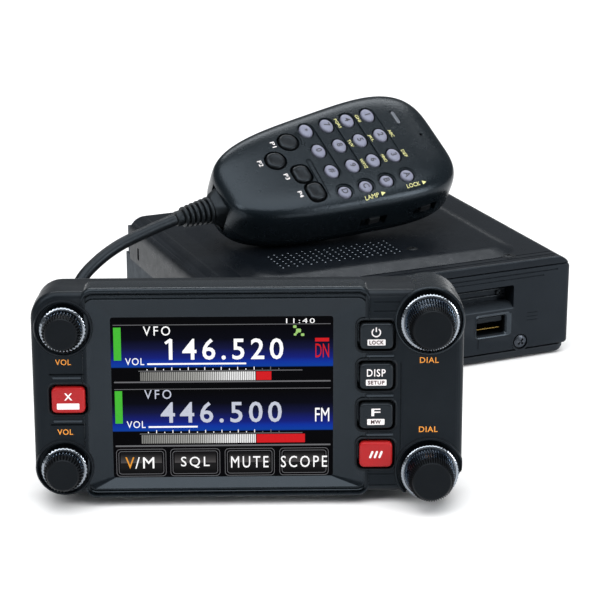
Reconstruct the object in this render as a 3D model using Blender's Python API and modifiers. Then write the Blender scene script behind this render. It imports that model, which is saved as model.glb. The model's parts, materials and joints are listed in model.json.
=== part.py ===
"""Mobile transceiver: a main unit, its detached control head and its hand microphone.

The main unit stands on the origin. The control head stands in front of it and faces -Y, and
the microphone lies on the main unit's top cover. Lengths are in millimetres until a mesh is
made from them.
"""
import math

import bmesh
import bpy
from mathutils import Euler, Vector

MM = 0.001
GAP = 0.3

# Main unit. Its own frame: x to its right, y backwards, z up, origin at its base centre.
RADIO_WIDTH = 142.0
RADIO_DEPTH = 125.0
RADIO_HEIGHT = 40.0
RADIO_YAW = math.radians(21.83)
RADIO_FRONT = -RADIO_DEPTH / 2
PANEL_BACK = RADIO_FRONT + 9.7
COVER_BACK = RADIO_FRONT + 115.0
COVER_LIP = 36.9
COVER_SKIRT = 22.5
COVER_WALL = 1.7
BASE_PLATE = 3.4
CHASSIS_HALF = 69.0
CORNER = 5.0
PLATEAU_HEIGHT = 2.2
PLATEAU_BASE = (112.0, 91.0)
PLATEAU_TOP = (99.0, 77.0)
PLATEAU_CENTRE = (-1.0, -10.0)
DOCK_HALF = 46.0
DOCK_LOW = 21.4
DOCK_HIGH = 30.6
DOCK_DEPTH = 7.0
SOCKET_CENTRE = (36.5, 15.0)
SOCKET_BODY = (14.4, 14.0, 9.6)
SOCKET_MOUTH = (12.2, 10.0, 7.6)
SOCKET_RECESS = 0.8
SCREW_PLACE = (49.5, 7.0)
FAN_CENTRE_UP = 19.0
FAN_TUNNEL = 13.8
FAN_TIP = 12.9
FAN_HUB = 6.0
FAN_PIN = 1.5
FAN_BLADES = 7
REAR_SOCKET_X = 52.0

# Control head. Its own frame: origin at the middle of its lower rear edge.
HEAD_WIDTH = 138.6
HEAD_MIDDLE = 0.6
HEAD_DEPTH = 20.0
HEAD_HEIGHT = 72.0
HEAD_PLACE = (-36.49, -153.19, 0.0)
HEAD_LEAN = 0.06647
WING_LOW = -33.5
WING_HIGH = 34.5
FRAME_LOW = -34.8
FRAME_HIGH = 36.0
BEZEL_DEPTH = 9.0
KEEL_DROP = 1.1
FRONT_WALL = 4.0
FRAME_LEFT = -52.0
FRAME_RIGHT = 39.0
WINDOW_SIZE = (71.5, 54.2)
WINDOW_CENTRE = (-7.8, -1.6)
WINDOW_DEPTH = 3.0
SLOPE_BOX = (-51.6, 38.6, -31.6, 31.9)
KEY_SIZE = (10.7, 8.5)
KEY_PROUD = 1.3
KEYS = {
    "power_key": (41.7, 19.7),
    "display_key": (41.7, 6.3),
    "function_key": (41.7, -7.0),
    "memory_key": (41.7, -20.2),
    "network_key": (-57.2, -0.9),
}
VOLUME_KNOBS = {"upper_volume_knob": (-58.3, 22.9), "lower_volume_knob": (-59.1, -24.0)}
DIAL_KNOBS = {"upper_dial": (58.7, 24.4), "lower_dial": (59.2, -26.1)}
VOLUME_RADIUS = 7.5
DIAL_RADIUS = 9.5
KNOB_STEM = 3.0

# Microphone. Its own frame: origin at the middle of its keypad, x to its right, y to its top
# end, z out of its face.
MIC_PLACE = (6.4, -8.7, 74.7)
MIC_TURN = (math.radians(5.9), math.radians(34.1), math.radians(-62.1))
MIC_CENTRE = (-1.5, -8.75)
MIC_HALF_LENGTH = 49.25
MIC_HALF_WIDTH = 26.0
MIC_FLARE = 5.2
MIC_FRONT_DEPTH = 16.5
MIC_REAR_DEPTH = 13.0
MIC_SEAM = -16.0
MIC_WALL = 2.2
MIC_FACE_WALL = 4.4
END_POWER = 3.2
SECTION_POWER = 3.5
REAR_POWER = 2.1
PAD_PITCH = (11.0, 9.4)
PAD_ROWS = (
    ("key_1", "key_2", "key_3", "key_a"),
    ("key_4", "key_5", "key_6", "key_b"),
    ("key_7", "key_8", "key_9", "key_c"),
    ("key_star", "key_0", "key_hash", "key_d"),
)
NUMBER_KEY = (7.0, 6.0)
LETTER_KEY = (5.8, 5.8)
ROUND_SOFT_KEY = (8.6, 8.6)
LONG_SOFT_KEY = (7.2, 9.4)
SOFT_KEYS = {
    "soft_key_1": (-13.0, -24.0, ROUND_SOFT_KEY),
    "soft_key_2": (-5.9, -33.2, ROUND_SOFT_KEY),
    "soft_key_3": (3.4, -26.4, LONG_SOFT_KEY),
    "soft_key_4": (12.9, -25.2, LONG_SOFT_KEY),
}
MIC_KEY_LOW = -2.0
MIC_KEY_HIGH = 0.9
MIC_POCKET = -2.9
SIDE_SWITCHES = {"lamp_switch": -3.0, "lock_switch": 20.0}
SIDE_SWITCH_UP = -11.0
TALK_ALONG = -6.0
TALK_TURN = math.radians(5.5)
TALK_SIZE = (7.0, 31.2, 8.0)
STEP_SIZE = (9.0, 7.5, 4.8)
STEP_PLACE = (9.0, 37.1, -12.4)
RELIEF_UP = -14.0
RELIEF_START = -50.0
RELIEF_END = -76.0
CORD_DIAMETER = 4.6

# The microphone cord's route, in the world's frame.
LEAD_ROUTE = (
    (-63.9, -35.7, 56.1),
    (-73.2, -41.3, 53.6),
    (-84.2, -48.2, 50.0),
    (-92.5, -55.2, 45.6),
    (-98.6, -62.5, 40.0),
    (-102.3, -71.0, 30.5),
    (-103.4, -82.0, 18.8),
    (-101.5, -93.0, 9.8),
    (-97.0, -101.0, 7.2),
    (-90.6, -104.4, 6.9),
)
CURL_DIAMETER = 13.0
CURL_ROUTE = (
    (-90.0, -104.6, 6.9),
    (-76.0, -108.5, 6.9),
    (-56.0, -110.0, 6.9),
    (-36.0, -110.0, 6.9),
    (-16.0, -110.0, 6.9),
    (2.0, -109.0, 6.9),
    (16.0, -103.0, 6.9),
    (22.0, -92.0, 6.9),
    (16.0, -81.0, 6.9),
    (2.0, -79.0, 6.9),
    (-14.0, -82.0, 6.9),
    (-30.0, -87.5, 6.9),
)
TAIL_ROUTE = (
    (-30.7, -87.8, 6.8),
    (-38.0, -90.0, 5.0),
    (-48.0, -91.0, 3.4),
    (-60.0, -89.0, 3.3),
)
PLUG_SIZE = (11.6, 22.0, 6.6)

COLOURS = {
    "cast_metal": ((0.035, 0.038, 0.044, 1.0), 0.55, 0.35),
    "dark_plastic": ((0.024, 0.027, 0.032, 1.0), 0.45, 0.0),
    "black_plastic": ((0.008, 0.009, 0.011, 1.0), 0.4, 0.0),
    "knob_metal": ((0.12, 0.13, 0.14, 1.0), 0.3, 0.9),
    "red_key": ((0.5, 0.03, 0.035, 1.0), 0.4, 0.0),
    "grey_key": ((0.5, 0.5, 0.62, 1.0), 0.5, 0.0),
    "screen_glass": ((0.006, 0.02, 0.09, 1.0), 0.08, 0.0),
    "circuit_green": ((0.02, 0.14, 0.06, 1.0), 0.5, 0.0),
    "plated_metal": ((0.6, 0.6, 0.58, 1.0), 0.25, 1.0),
    "black_rubber": ((0.01, 0.011, 0.012, 1.0), 0.6, 0.0),
}


def clear_scene():
    for obj in list(bpy.data.objects):
        bpy.data.objects.remove(obj, do_unlink=True)


def make_collection(name):
    collection = bpy.data.collections.new(name)
    bpy.context.scene.collection.children.link(collection)
    return collection


def make_material(name):
    colour, roughness, metallic = COLOURS[name]
    material = bpy.data.materials.new(name)
    material.use_nodes = True
    shader = material.node_tree.nodes["Principled BSDF"]
    shader.inputs["Base Color"].default_value = colour
    shader.inputs["Roughness"].default_value = roughness
    shader.inputs["Metallic"].default_value = metallic
    return material


clear_scene()
PARTS = make_collection("mobile_transceiver")
CUTTERS = make_collection("cutters")
MATERIALS = {name: make_material(name) for name in COLOURS}


def make_frame(name, place, turn=(0.0, 0.0, 0.0), order="XYZ"):
    """An empty that carries one unit's pieces."""
    frame = bpy.data.objects.new(name, None)
    PARTS.objects.link(frame)
    frame.location = Vector(place) * MM
    frame.rotation_mode = order
    frame.rotation_euler = Euler(turn, order)
    return frame


RADIO = make_frame("radio_frame", (0.0, 0.0, 0.0), (0.0, 0.0, RADIO_YAW))
HEAD = make_frame("head_frame", HEAD_PLACE, (-HEAD_LEAN, 0.0, 0.0))
HEAD_FLOOR = make_frame("head_floor_frame", HEAD_PLACE)
MIC = make_frame("microphone_frame", MIC_PLACE, MIC_TURN, "YXZ")
WORLD = make_frame("world_frame", (0.0, 0.0, 0.0))


def add_object(name, mesh, frame, place=(0.0, 0.0, 0.0), turn=(0.0, 0.0, 0.0), material=None):
    """Links a mesh in its unit's frame. With no material it is a cutter."""
    obj = bpy.data.objects.new(name, mesh)
    if material:
        PARTS.objects.link(obj)
        obj.data.materials.append(MATERIALS[material])
    else:
        CUTTERS.objects.link(obj)
        obj.hide_render = True
        obj.display_type = "WIRE"
    obj.parent = frame
    obj.location = Vector(place) * MM
    obj.rotation_euler = Euler(turn)
    return obj


def mesh_from(name, bm, smooth=False):
    mesh = bpy.data.meshes.new(name)
    bm.to_mesh(mesh)
    bm.free()
    if smooth:
        mesh.shade_smooth()
        mesh.set_sharp_from_angle(angle=math.radians(35))
    return mesh


def block(name, size, place, frame, material=None, corner=0.0, axis=2, rim=0.0, rims=(1,),
          steps=4, turn=(0.0, 0.0, 0.0), end_scale=(1.0, 1.0)):
    """A box. Its edges along one axis are rounded by corner, and the edges of the ends named in
    rims (1 or -1 along that axis) by rim. The +axis end is scaled by end_scale first."""
    bm = bmesh.new()
    bmesh.ops.create_cube(bm, size=1.0)
    bmesh.ops.scale(bm, vec=Vector(size) * MM, verts=bm.verts)
    across = [i for i in range(3) if i != axis]
    for vert in bm.verts:
        if vert.co[axis] > 0:
            vert.co[across[0]] *= end_scale[0]
            vert.co[across[1]] *= end_scale[1]
    if corner:
        edges = [e for e in bm.edges if e.verts[0].co[axis] * e.verts[1].co[axis] < 0]
        bmesh.ops.bevel(bm, geom=edges, offset=corner * MM, segments=steps, profile=0.5,
                        affect="EDGES")
    if rim:
        limit = size[axis] * MM / 2 - 1e-7
        edges = [e for e in bm.edges
                 if any(all(v.co[axis] * side > limit for v in e.verts) for side in rims)]
        bmesh.ops.bevel(bm, geom=edges, offset=rim * MM, segments=2, profile=0.5,
                        affect="EDGES")
    return add_object(name, mesh_from(name, bm, bool(corner)), frame, place, turn, material)


def rod(name, radius, length, place, frame, material=None, turn=(0.0, 0.0, 0.0), sides=24,
        top_radius=None, squash=1.0):
    """A cylinder or cone along its own z, centred on place. squash scales it along y."""
    bm = bmesh.new()
    end = radius if top_radius is None else top_radius
    bmesh.ops.create_cone(bm, cap_ends=True, segments=sides, radius1=radius * MM,
                          radius2=end * MM, depth=length * MM)
    bmesh.ops.scale(bm, vec=(1.0, squash, 1.0), verts=bm.verts)
    return add_object(name, mesh_from(name, bm, True), frame, place, turn, material)


def turned(name, profile, place, frame, material, turn=(0.0, 0.0, 0.0), sides=32):
    """A solid of revolution about its own z. The profile runs down the outer side, from the
    axis at the top to the axis at the bottom."""
    bm = bmesh.new()
    verts = [bm.verts.new((radius * MM, 0.0, height * MM)) for radius, height in profile]
    for first, second in zip(verts, verts[1:]):
        bm.edges.new((first, second))
    obj = add_object(name, mesh_from(name, bm), frame, place, turn, material)
    screw = obj.modifiers.new("turn", "SCREW")
    screw.steps = sides
    screw.render_steps = sides
    screw.use_merge_vertices = True
    screw.merge_threshold = 0.00001
    screw.use_smooth_shade = True
    return obj


def combine(target, others, operation):
    for other in others:
        modifier = target.modifiers.new(operation.lower(), "BOOLEAN")
        modifier.operation = operation
        modifier.solver = "EXACT"
        modifier.object = other
    return target


def cut(target, *cutters):
    return combine(target, cutters, "DIFFERENCE")


def join(target, *pieces):
    return combine(target, pieces, "UNION")


# ---------------------------------------------------------------- main unit


def radio_covers():
    depth = COVER_BACK - RADIO_FRONT
    middle = (RADIO_FRONT + COVER_BACK) / 2
    height = RADIO_HEIGHT - COVER_SKIRT
    cover = block("radio_top_cover", (RADIO_WIDTH, depth, height),
                  (0, middle, COVER_SKIRT + height / 2), RADIO, "dark_plastic",
                  corner=CORNER, rim=2.2)
    inside_depth = COVER_BACK - COVER_WALL - PANEL_BACK
    hollow = block("cover_hollow",
                   (RADIO_WIDTH - 2 * COVER_WALL, inside_depth, 2 * height),
                   (0, PANEL_BACK + inside_depth / 2, RADIO_HEIGHT - COVER_WALL - height),
                   RADIO)
    panel_room = block("cover_panel_room", (RADIO_WIDTH + 4, 12, 2 * (COVER_LIP - COVER_SKIRT)),
                       (0, PANEL_BACK - 6 + 0.1, COVER_SKIRT), RADIO)
    scale = (PLATEAU_TOP[0] / PLATEAU_BASE[0], PLATEAU_TOP[1] / PLATEAU_BASE[1])
    plateau = block("cover_plateau", (*PLATEAU_BASE, PLATEAU_HEIGHT + 0.6),
                    (*PLATEAU_CENTRE, RADIO_HEIGHT - 0.6 + (PLATEAU_HEIGHT + 0.6) / 2), RADIO,
                    corner=13.0, end_scale=scale)
    cut(cover, hollow, panel_room)
    join(cover, plateau)
    plate = block("radio_bottom_cover", (RADIO_WIDTH - 1.0, RADIO_DEPTH - 0.6, BASE_PLATE),
                  (0, 0, BASE_PLATE / 2), RADIO, "cast_metal", corner=5.0, rim=0.8, rims=(-1,))
    pocket = block("bottom_pocket", (126, 100, 2.0), (0, 0, BASE_PLATE), RADIO)
    cut(plate, pocket)


def radio_front_panel():
    low = BASE_PLATE + GAP
    high = COVER_LIP - GAP
    height = high - low
    panel = block("radio_front_panel", (RADIO_WIDTH, 2 * (PANEL_BACK - RADIO_FRONT), height),
                  (0, PANEL_BACK, low + height / 2), RADIO, "dark_plastic", corner=CORNER)
    rear_half = block("panel_rear_half", (RADIO_WIDTH + 4, 20, 60),
                      (0, PANEL_BACK - GAP + 10, 20), RADIO)
    dock = block("panel_dock", (2 * DOCK_HALF, 2 * DOCK_DEPTH, DOCK_HIGH - DOCK_LOW),
                 (0, RADIO_FRONT, (DOCK_LOW + DOCK_HIGH) / 2), RADIO)
    socket_x, socket_z = SOCKET_CENTRE
    opening = block("panel_socket_opening",
                    (SOCKET_BODY[0] + 2 * GAP, 40, SOCKET_BODY[2] + 2 * GAP),
                    (socket_x, RADIO_FRONT, socket_z), RADIO)
    screw_x, screw_z = SCREW_PLACE
    across = (math.pi / 2, 0, 0)
    seat = rod("screw_seat", 3.0, 3.2, (screw_x, RADIO_FRONT, screw_z), RADIO, turn=across)
    bore = rod("screw_bore", 1.7, 15.0, (screw_x, RADIO_FRONT, screw_z), RADIO, turn=across,
               sides=16)
    cut(panel, rear_half, dock, opening, seat, bore)
    turned("front_panel_screw",
           ((0, 0), (2.5, 0), (2.6, -0.5), (2.6, -1.2), (1.3, -1.2), (1.3, -6.4), (0, -6.4)),
           (screw_x, RADIO_FRONT + 0.1, screw_z), RADIO, "plated_metal", turn=across, sides=16)
    length = SOCKET_BODY[1]
    middle = RADIO_FRONT + SOCKET_RECESS + length / 2
    socket = block("microphone_socket", SOCKET_BODY, (socket_x, middle, socket_z), RADIO,
                   "black_plastic")
    mouth = block("socket_mouth", (SOCKET_MOUTH[0], 2 * SOCKET_MOUTH[1], SOCKET_MOUTH[2]),
                  (socket_x, middle - length / 2, socket_z), RADIO)
    cut(socket, mouth)


def radio_chassis():
    low = BASE_PLATE + GAP
    tray_height = COVER_SKIRT - GAP - low
    front = PANEL_BACK
    back = RADIO_DEPTH / 2
    tray_back = COVER_BACK + GAP
    chassis = block("radio_chassis", (2 * CHASSIS_HALF, back - front, tray_height),
                    (0, (front + back) / 2, low + tray_height / 2), RADIO, "cast_metal")
    room = block("chassis_room", (2 * CHASSIS_HALF - 6, tray_back - front - 6, 2 * tray_height),
                 (0, (front + tray_back) / 2 - 0.5, low + 3.0 + tray_height), RADIO)
    rear_depth = back - tray_back
    rear_height = 34.0 - low
    rear = block("chassis_rear", (2 * CHASSIS_HALF - 0.4, rear_depth, rear_height),
                 (0, tray_back + rear_depth / 2, low + 0.2 + rear_height / 2), RADIO,
                 rim=2.5, axis=1)
    across = (math.pi / 2, 0, 0)
    tunnel = rod("fan_tunnel", FAN_TUNNEL, 40, (0, back, FAN_CENTRE_UP), RADIO, turn=across,
                 sides=32)
    socket_room = block("chassis_socket_room",
                        (SOCKET_BODY[0] + 1.0, 2 * SOCKET_BODY[1] - 2, SOCKET_BODY[2] + 1.0),
                        (SOCKET_CENTRE[0], RADIO_FRONT + 3, SOCKET_CENTRE[1]), RADIO)
    cut(chassis, room, socket_room)
    join(chassis, rear)
    slots = []
    for side in (-1, 1):
        for number in range(5):
            place = (side * (18.5 + 4.4 * number), back, 19.5)
            slots.append(block("fin_slot", (2.2, 11.0, 40.0), place, RADIO))
    cut(chassis, tunnel, *slots)
    spider_y = tray_back + 1.2
    boss = rod("fan_boss", FAN_HUB - 0.5, 2.4, (0, spider_y, FAN_CENTRE_UP), RADIO, turn=across)
    pin = rod("fan_pin", FAN_PIN, 7.4, (0, spider_y + 3.3, FAN_CENTRE_UP), RADIO, turn=across,
              sides=24)
    struts = [block("fan_strut", (2 * FAN_TUNNEL + 2, 1.6, 1.8), (0, spider_y, FAN_CENTRE_UP),
                    RADIO, turn=(0, math.radians(30 + 60 * index), 0)) for index in range(3)]
    join(chassis, boss, pin, *struts)
    rotor = turned("fan_rotor",
                   ((FAN_PIN + 0.1, 3.0), (FAN_HUB - 0.4, 3.0), (FAN_HUB, 2.6),
                    (FAN_HUB, -3.0), (FAN_PIN + 0.1, -3.0), (FAN_PIN + 0.1, 3.0)),
                   (0, spider_y + 4.9, FAN_CENTRE_UP), RADIO, "black_plastic", turn=across,
                   sides=24)
    blades = []
    reach = FAN_TIP - FAN_HUB + 1.0
    for index in range(FAN_BLADES):
        angle = 2 * math.pi * index / FAN_BLADES
        middle = FAN_TIP - reach / 2
        blade = block("fan_blade", (reach, 4.6, 0.9),
                      (middle * math.cos(angle), middle * math.sin(angle), 0.0), rotor)
        blade.rotation_mode = "XYZ"
        blade.rotation_euler = Euler((math.radians(38), 0, angle))
        blades.append(blade)
    join(rotor, *blades)


def radio_insides():
    board = block("radio_circuit_board", (120.0, 92.0, 1.6), (0, 0, 12.5), RADIO,
                  "circuit_green")
    parts = [
        block("shield_can", (42.0, 36.0, 5.0), (-30, 10, 15.3), RADIO),
        block("power_stage", (50.0, 16.0, 7.0), (25, 32, 16.3), RADIO),
        block("cable_header", (20.0, 6.0, 6.0), (-20, -36, 15.8), RADIO),
    ]
    join(board, *parts)
    turned("radio_speaker",
           ((0, 8.0), (7.0, 8.0), (9.0, 6.2), (21.0, 9.0), (25.0, 9.0), (25.0, 6.5), (12.0, 2.0),
            (12.0, 0.0), (0, 0)),
           (-12, -14, 28.0), RADIO, "black_plastic", sides=24)


def radio_rear_fittings():
    back = RADIO_DEPTH / 2 + GAP
    outwards = (-math.pi / 2, 0, 0)
    turned("antenna_connector",
           ((0, 5.0), (2.4, 5.0), (2.4, 15.0), (7.0, 15.0), (7.9, 14.0), (7.9, 2.5), (9.5, 2.5),
            (9.5, 0), (0, 0)),
           (-REAR_SOCKET_X, back, 17.0), RADIO, "plated_metal", turn=outwards, sides=24)
    turned("power_cord_gland",
           ((0, 1.0), (1.7, 1.0), (1.7, 6.0), (4.0, 6.0), (5.4, 1.8), (6.6, 1.5), (6.6, 0),
            (0, 0)),
           (REAR_SOCKET_X, back, 12.0), RADIO, "black_rubber", turn=outwards, sides=20)


# ---------------------------------------------------------------- control head


def on_head(across, up, depth=0.0):
    """A point in the head's frame, from its front face's centre and the depth behind it."""
    return (across, depth - HEAD_DEPTH, up + HEAD_HEIGHT / 2)


def sloped_opening():
    """The cutter for the display's surround: a frustum from the frame down to the window."""
    left, right, low, high = SLOPE_BOX
    half_x = WINDOW_SIZE[0] / 2
    half_z = WINDOW_SIZE[1] / 2
    bm = bmesh.new()
    bmesh.ops.create_cube(bm, size=2.0)
    for vert in bm.verts:
        near = vert.co.y < 0
        inner = (WINDOW_CENTRE[0] + half_x * vert.co.x, WINDOW_CENTRE[1] + half_z * vert.co.z)
        outer = (right if vert.co.x > 0 else left, high if vert.co.z > 0 else low)
        across, up = outer if near else inner
        vert.co = Vector(on_head(across, up, -0.1 if near else WINDOW_DEPTH)) * MM
    return add_object("slope_cutter", mesh_from("slope_cutter", bm), HEAD)


def head_shells():
    facing = (math.pi / 2, 0, 0)
    wing_height = WING_HIGH - WING_LOW
    wing_middle = (WING_HIGH + WING_LOW) / 2
    bezel = block("head_bezel", (HEAD_WIDTH, BEZEL_DEPTH, wing_height),
                  on_head(HEAD_MIDDLE, wing_middle, BEZEL_DEPTH / 2), HEAD, "dark_plastic",
                  corner=9.0, axis=1,
                  rim=1.3, rims=(-1,))
    frame_width = FRAME_RIGHT - FRAME_LEFT
    frame_middle = (FRAME_LEFT + FRAME_RIGHT) / 2
    centre_frame = block("centre_frame",
                         (frame_width, BEZEL_DEPTH + 0.4, FRAME_HIGH - FRAME_LOW),
                         on_head(frame_middle, (FRAME_LOW + FRAME_HIGH) / 2,
                                 BEZEL_DEPTH / 2 - 0.2),
                         HEAD, corner=2.0, axis=1, rim=0.8, rims=(-1,), steps=2)
    join(bezel, centre_frame)
    cavity = block("bezel_cavity", (HEAD_WIDTH - 6, 20.0, wing_height - 5),
                   on_head(HEAD_MIDDLE, wing_middle, FRONT_WALL + 10), HEAD, corner=6.0,
                   axis=1)
    window = block("window_cutter", (WINDOW_SIZE[0], 30.0, WINDOW_SIZE[1]),
                   on_head(*WINDOW_CENTRE), HEAD)
    cutters = [cavity, window, sloped_opening()]
    for spot in KEYS.values():
        cutters.append(block("key_hole", (KEY_SIZE[0] + 2 * GAP, 20, KEY_SIZE[1] + 2 * GAP),
                             on_head(*spot), HEAD, corner=1.8, axis=1, steps=2))
    for spots, radius in ((VOLUME_KNOBS, VOLUME_RADIUS), (DIAL_KNOBS, DIAL_RADIUS)):
        for spot in spots.values():
            cutters.append(rod("knob_recess", radius + 0.8, 2.0, on_head(*spot), HEAD,
                               turn=facing, sides=24))
            cutters.append(rod("stem_bore", KNOB_STEM + 0.1, 30.0, on_head(*spot), HEAD,
                               turn=facing, sides=24))
    cut(bezel, *cutters)

    rear_depth = HEAD_DEPTH - BEZEL_DEPTH - GAP
    case = block("head_rear_case", (HEAD_WIDTH - 1.6, rear_depth, wing_height - 1.6),
                 on_head(HEAD_MIDDLE, wing_middle, HEAD_DEPTH - rear_depth / 2), HEAD,
                 "dark_plastic",
                 corner=8.2, axis=1, rim=2.0, rims=(1,))
    keel_width = frame_width - 12
    keel = block("case_keel", (keel_width, rear_depth, HEAD_HEIGHT - KEEL_DROP),
                 on_head(frame_middle, -KEEL_DROP / 2,
                         HEAD_DEPTH - rear_depth / 2),
                 HEAD)
    case_room = block("case_room", (HEAD_WIDTH - 6, 2 * (rear_depth - 2), wing_height - 6),
                      on_head(HEAD_MIDDLE, wing_middle, HEAD_DEPTH - rear_depth), HEAD,
                      corner=6.0, axis=1)
    join(case, keel)
    cut(case, case_room)


def head_display():
    block("display_window", (WINDOW_SIZE[0] - 2 * GAP, 1.2, WINDOW_SIZE[1] - 2 * GAP),
          on_head(*WINDOW_CENTRE, WINDOW_DEPTH + 0.7), HEAD, "screen_glass")
    block("display_module", (WINDOW_SIZE[0] + 0.5, 5.0, WINDOW_SIZE[1] + 2.4),
          on_head(*WINDOW_CENTRE, WINDOW_DEPTH + 4.2), HEAD, "black_plastic")


def head_bracket():
    """An angle plate behind the head: its sole lies on the floor and its back holds the head."""
    back = block("head_bracket", (56.0, 2.0, 44.0), (0, GAP + 1.0, 24.0), HEAD, "cast_metal",
                 corner=4.0, axis=1)
    sole = block("bracket_sole", (56.0, 26.0, 2.0), (0, 14.3, 1.0), HEAD_FLOOR, corner=4.0)
    join(back, sole)


def head_keys():
    for name, spot in KEYS.items():
        material = "red_key" if name in ("memory_key", "network_key") else "black_plastic"
        block(name, (KEY_SIZE[0], KEY_PROUD + 3.4, KEY_SIZE[1]),
              on_head(*spot, 1.7 - KEY_PROUD / 2), HEAD, material, corner=1.6, axis=1,
              rim=0.6, rims=(-1,), steps=2)


def head_knobs():
    facing = (math.pi / 2, 0, 0)
    for name, spot in VOLUME_KNOBS.items():
        ring = VOLUME_RADIUS
        turned(name,
               ((0, 8.2), (4.6, 8.0), (5.0, 7.4), (5.5, 7.0), (6.6, 3.1), (ring, 2.6),
                (ring, 0.6), (ring - 0.6, 0.1), (KNOB_STEM, 0.1), (KNOB_STEM, -6.5), (0, -6.5)),
               on_head(*spot), HEAD, "knob_metal", turn=facing, sides=24)
    for name, spot in DIAL_KNOBS.items():
        ring = DIAL_RADIUS
        turned(name + "_knob",
               ((0, 11.4), (5.7, 11.2), (6.3, 10.5), (6.9, 10.0), (8.4, 3.4), (ring, 2.8),
                (ring, 0.7), (ring - 0.6, 0.2), (KNOB_STEM + 0.06, 0.2),
                (KNOB_STEM + 0.06, 7.0), (0, 7.0)),
               on_head(*spot), HEAD, "knob_metal", turn=facing, sides=32)
        rod(name + "_shaft", KNOB_STEM, 14.0, on_head(*spot, 0.5), HEAD, "plated_metal",
            turn=facing, sides=24)


# ---------------------------------------------------------------- microphone


def mic_form(name, inset, material=None):
    """The microphone's closed outer form, or its hollow with an inset: a sphere whose length,
    width and depth follow powers, wider at the top end than at the cord end."""
    bm = bmesh.new()
    bmesh.ops.create_uvsphere(bm, u_segments=24, v_segments=12, radius=1.0)
    half_length = MIC_HALF_LENGTH - inset
    front = MIC_FRONT_DEPTH - (MIC_FACE_WALL if inset else 0.0)
    rear = MIC_REAR_DEPTH - inset
    for vert in bm.verts:
        along = max(-1.0, min(1.0, vert.co.z))
        around = math.atan2(vert.co.y, vert.co.x)
        reach = math.copysign(abs(along) ** (2 / END_POWER), along)
        girth = (1.0 - along * along) ** (1 / END_POWER) if abs(along) < 1.0 else 0.0
        cosine = math.cos(around)
        sine = math.sin(around)
        power = SECTION_POWER if sine > 0 else REAR_POWER
        side = math.copysign(abs(cosine) ** (2 / power), cosine)
        depth = math.copysign(abs(sine) ** (2 / power), sine)
        width = MIC_HALF_WIDTH - inset + MIC_FLARE * reach
        thick = front if sine > 0 else rear
        vert.co = Vector((MIC_CENTRE[0] + width * girth * side,
                          MIC_CENTRE[1] + half_length * reach,
                          MIC_SEAM + thick * girth * depth)) * MM
    bmesh.ops.reverse_faces(bm, faces=bm.faces)
    return add_object(name, mesh_from(name, bm, True), MIC, material=material)


def mic_half_room(name, side):
    """A block that takes away everything on one side of the seam."""
    return block(name, (90, 130, 60), (0, MIC_CENTRE[1], MIC_SEAM + side * (30 - GAP / 2)), MIC)


def wall_at(y, up):
    """The outer half width of the microphone at a place along it and a height."""
    reach = (y - MIC_CENTRE[1]) / MIC_HALF_LENGTH
    girth = (1 - abs(reach) ** END_POWER) ** (1 / END_POWER)
    height = (up - MIC_SEAM) / (MIC_FRONT_DEPTH * girth)
    section = (1 - height ** SECTION_POWER) ** (1 / SECTION_POWER)
    return (MIC_HALF_WIDTH + MIC_FLARE * reach) * girth * section


def key_places():
    """Each face key's name, place and size."""
    for row, names in enumerate(PAD_ROWS):
        for column, name in enumerate(names):
            size = LETTER_KEY if column == 3 else NUMBER_KEY
            yield name, (column - 1.5) * PAD_PITCH[0], (1.5 - row) * PAD_PITCH[1], size
    for name, (x, y, size) in SOFT_KEYS.items():
        yield name, x, y, size


def mic_shells():
    front = mic_form("mic_front_shell", 0.0, "black_plastic")
    rear = mic_form("mic_rear_shell", 0.0, "black_plastic")
    hollow = mic_form("mic_hollow", MIC_WALL)
    along = (math.pi / 2, 0, 0)
    cord_place = (MIC_CENTRE[0], 0.0, RELIEF_UP)
    notch = rod("cord_notch", 7.5, 20, (cord_place[0], -65.0, cord_place[2]), MIC, turn=along)
    cord_hole = rod("cord_hole", 4.4, 40, (cord_place[0], -60.0, cord_place[2]), MIC, turn=along)
    cut(front, mic_half_room("front_keeper", -1), hollow)
    cut(rear, mic_half_room("rear_keeper", 1), hollow)
    pockets = []
    for name, x, y, size in key_places():
        pockets.append(rod(name + "_pocket", size[0] / 2 + 0.35, 2 * 5, (x, y, MIC_POCKET + 5),
                           MIC, sides=12, squash=(size[1] + 0.7) / (size[0] + 0.7)))
    for name, y in SIDE_SWITCHES.items():
        x = MIC_CENTRE[0] + wall_at(y, SIDE_SWITCH_UP)
        pockets.append(block(name + "_slot", (12, 8.4, 3.4), (x, y, SIDE_SWITCH_UP), MIC))
    pockets.append(block("talk_slot", (12, TALK_SIZE[1] + 0.8, TALK_SIZE[2] + 0.8),
                         talk_place(0.0), MIC,
                         turn=(0, 0, TALK_TURN), corner=3.0, axis=0, steps=2))
    for side in (-1, 1):
        x = side * STEP_PLACE[0] + MIC_CENTRE[0]
        pockets.append(block("step_slot", (STEP_SIZE[0] + 0.6, 16, STEP_SIZE[2] + 0.6),
                             (x, *STEP_PLACE[1:]), MIC))
    cut(front, notch, cord_hole, *pockets)
    cut(rear, notch, cord_hole)


def talk_place(out):
    """The push to talk key's place, out from the microphone's left wall."""
    x = MIC_CENTRE[0] - wall_at(TALK_ALONG, SIDE_SWITCH_UP) - out
    return (x, TALK_ALONG, SIDE_SWITCH_UP)


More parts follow.
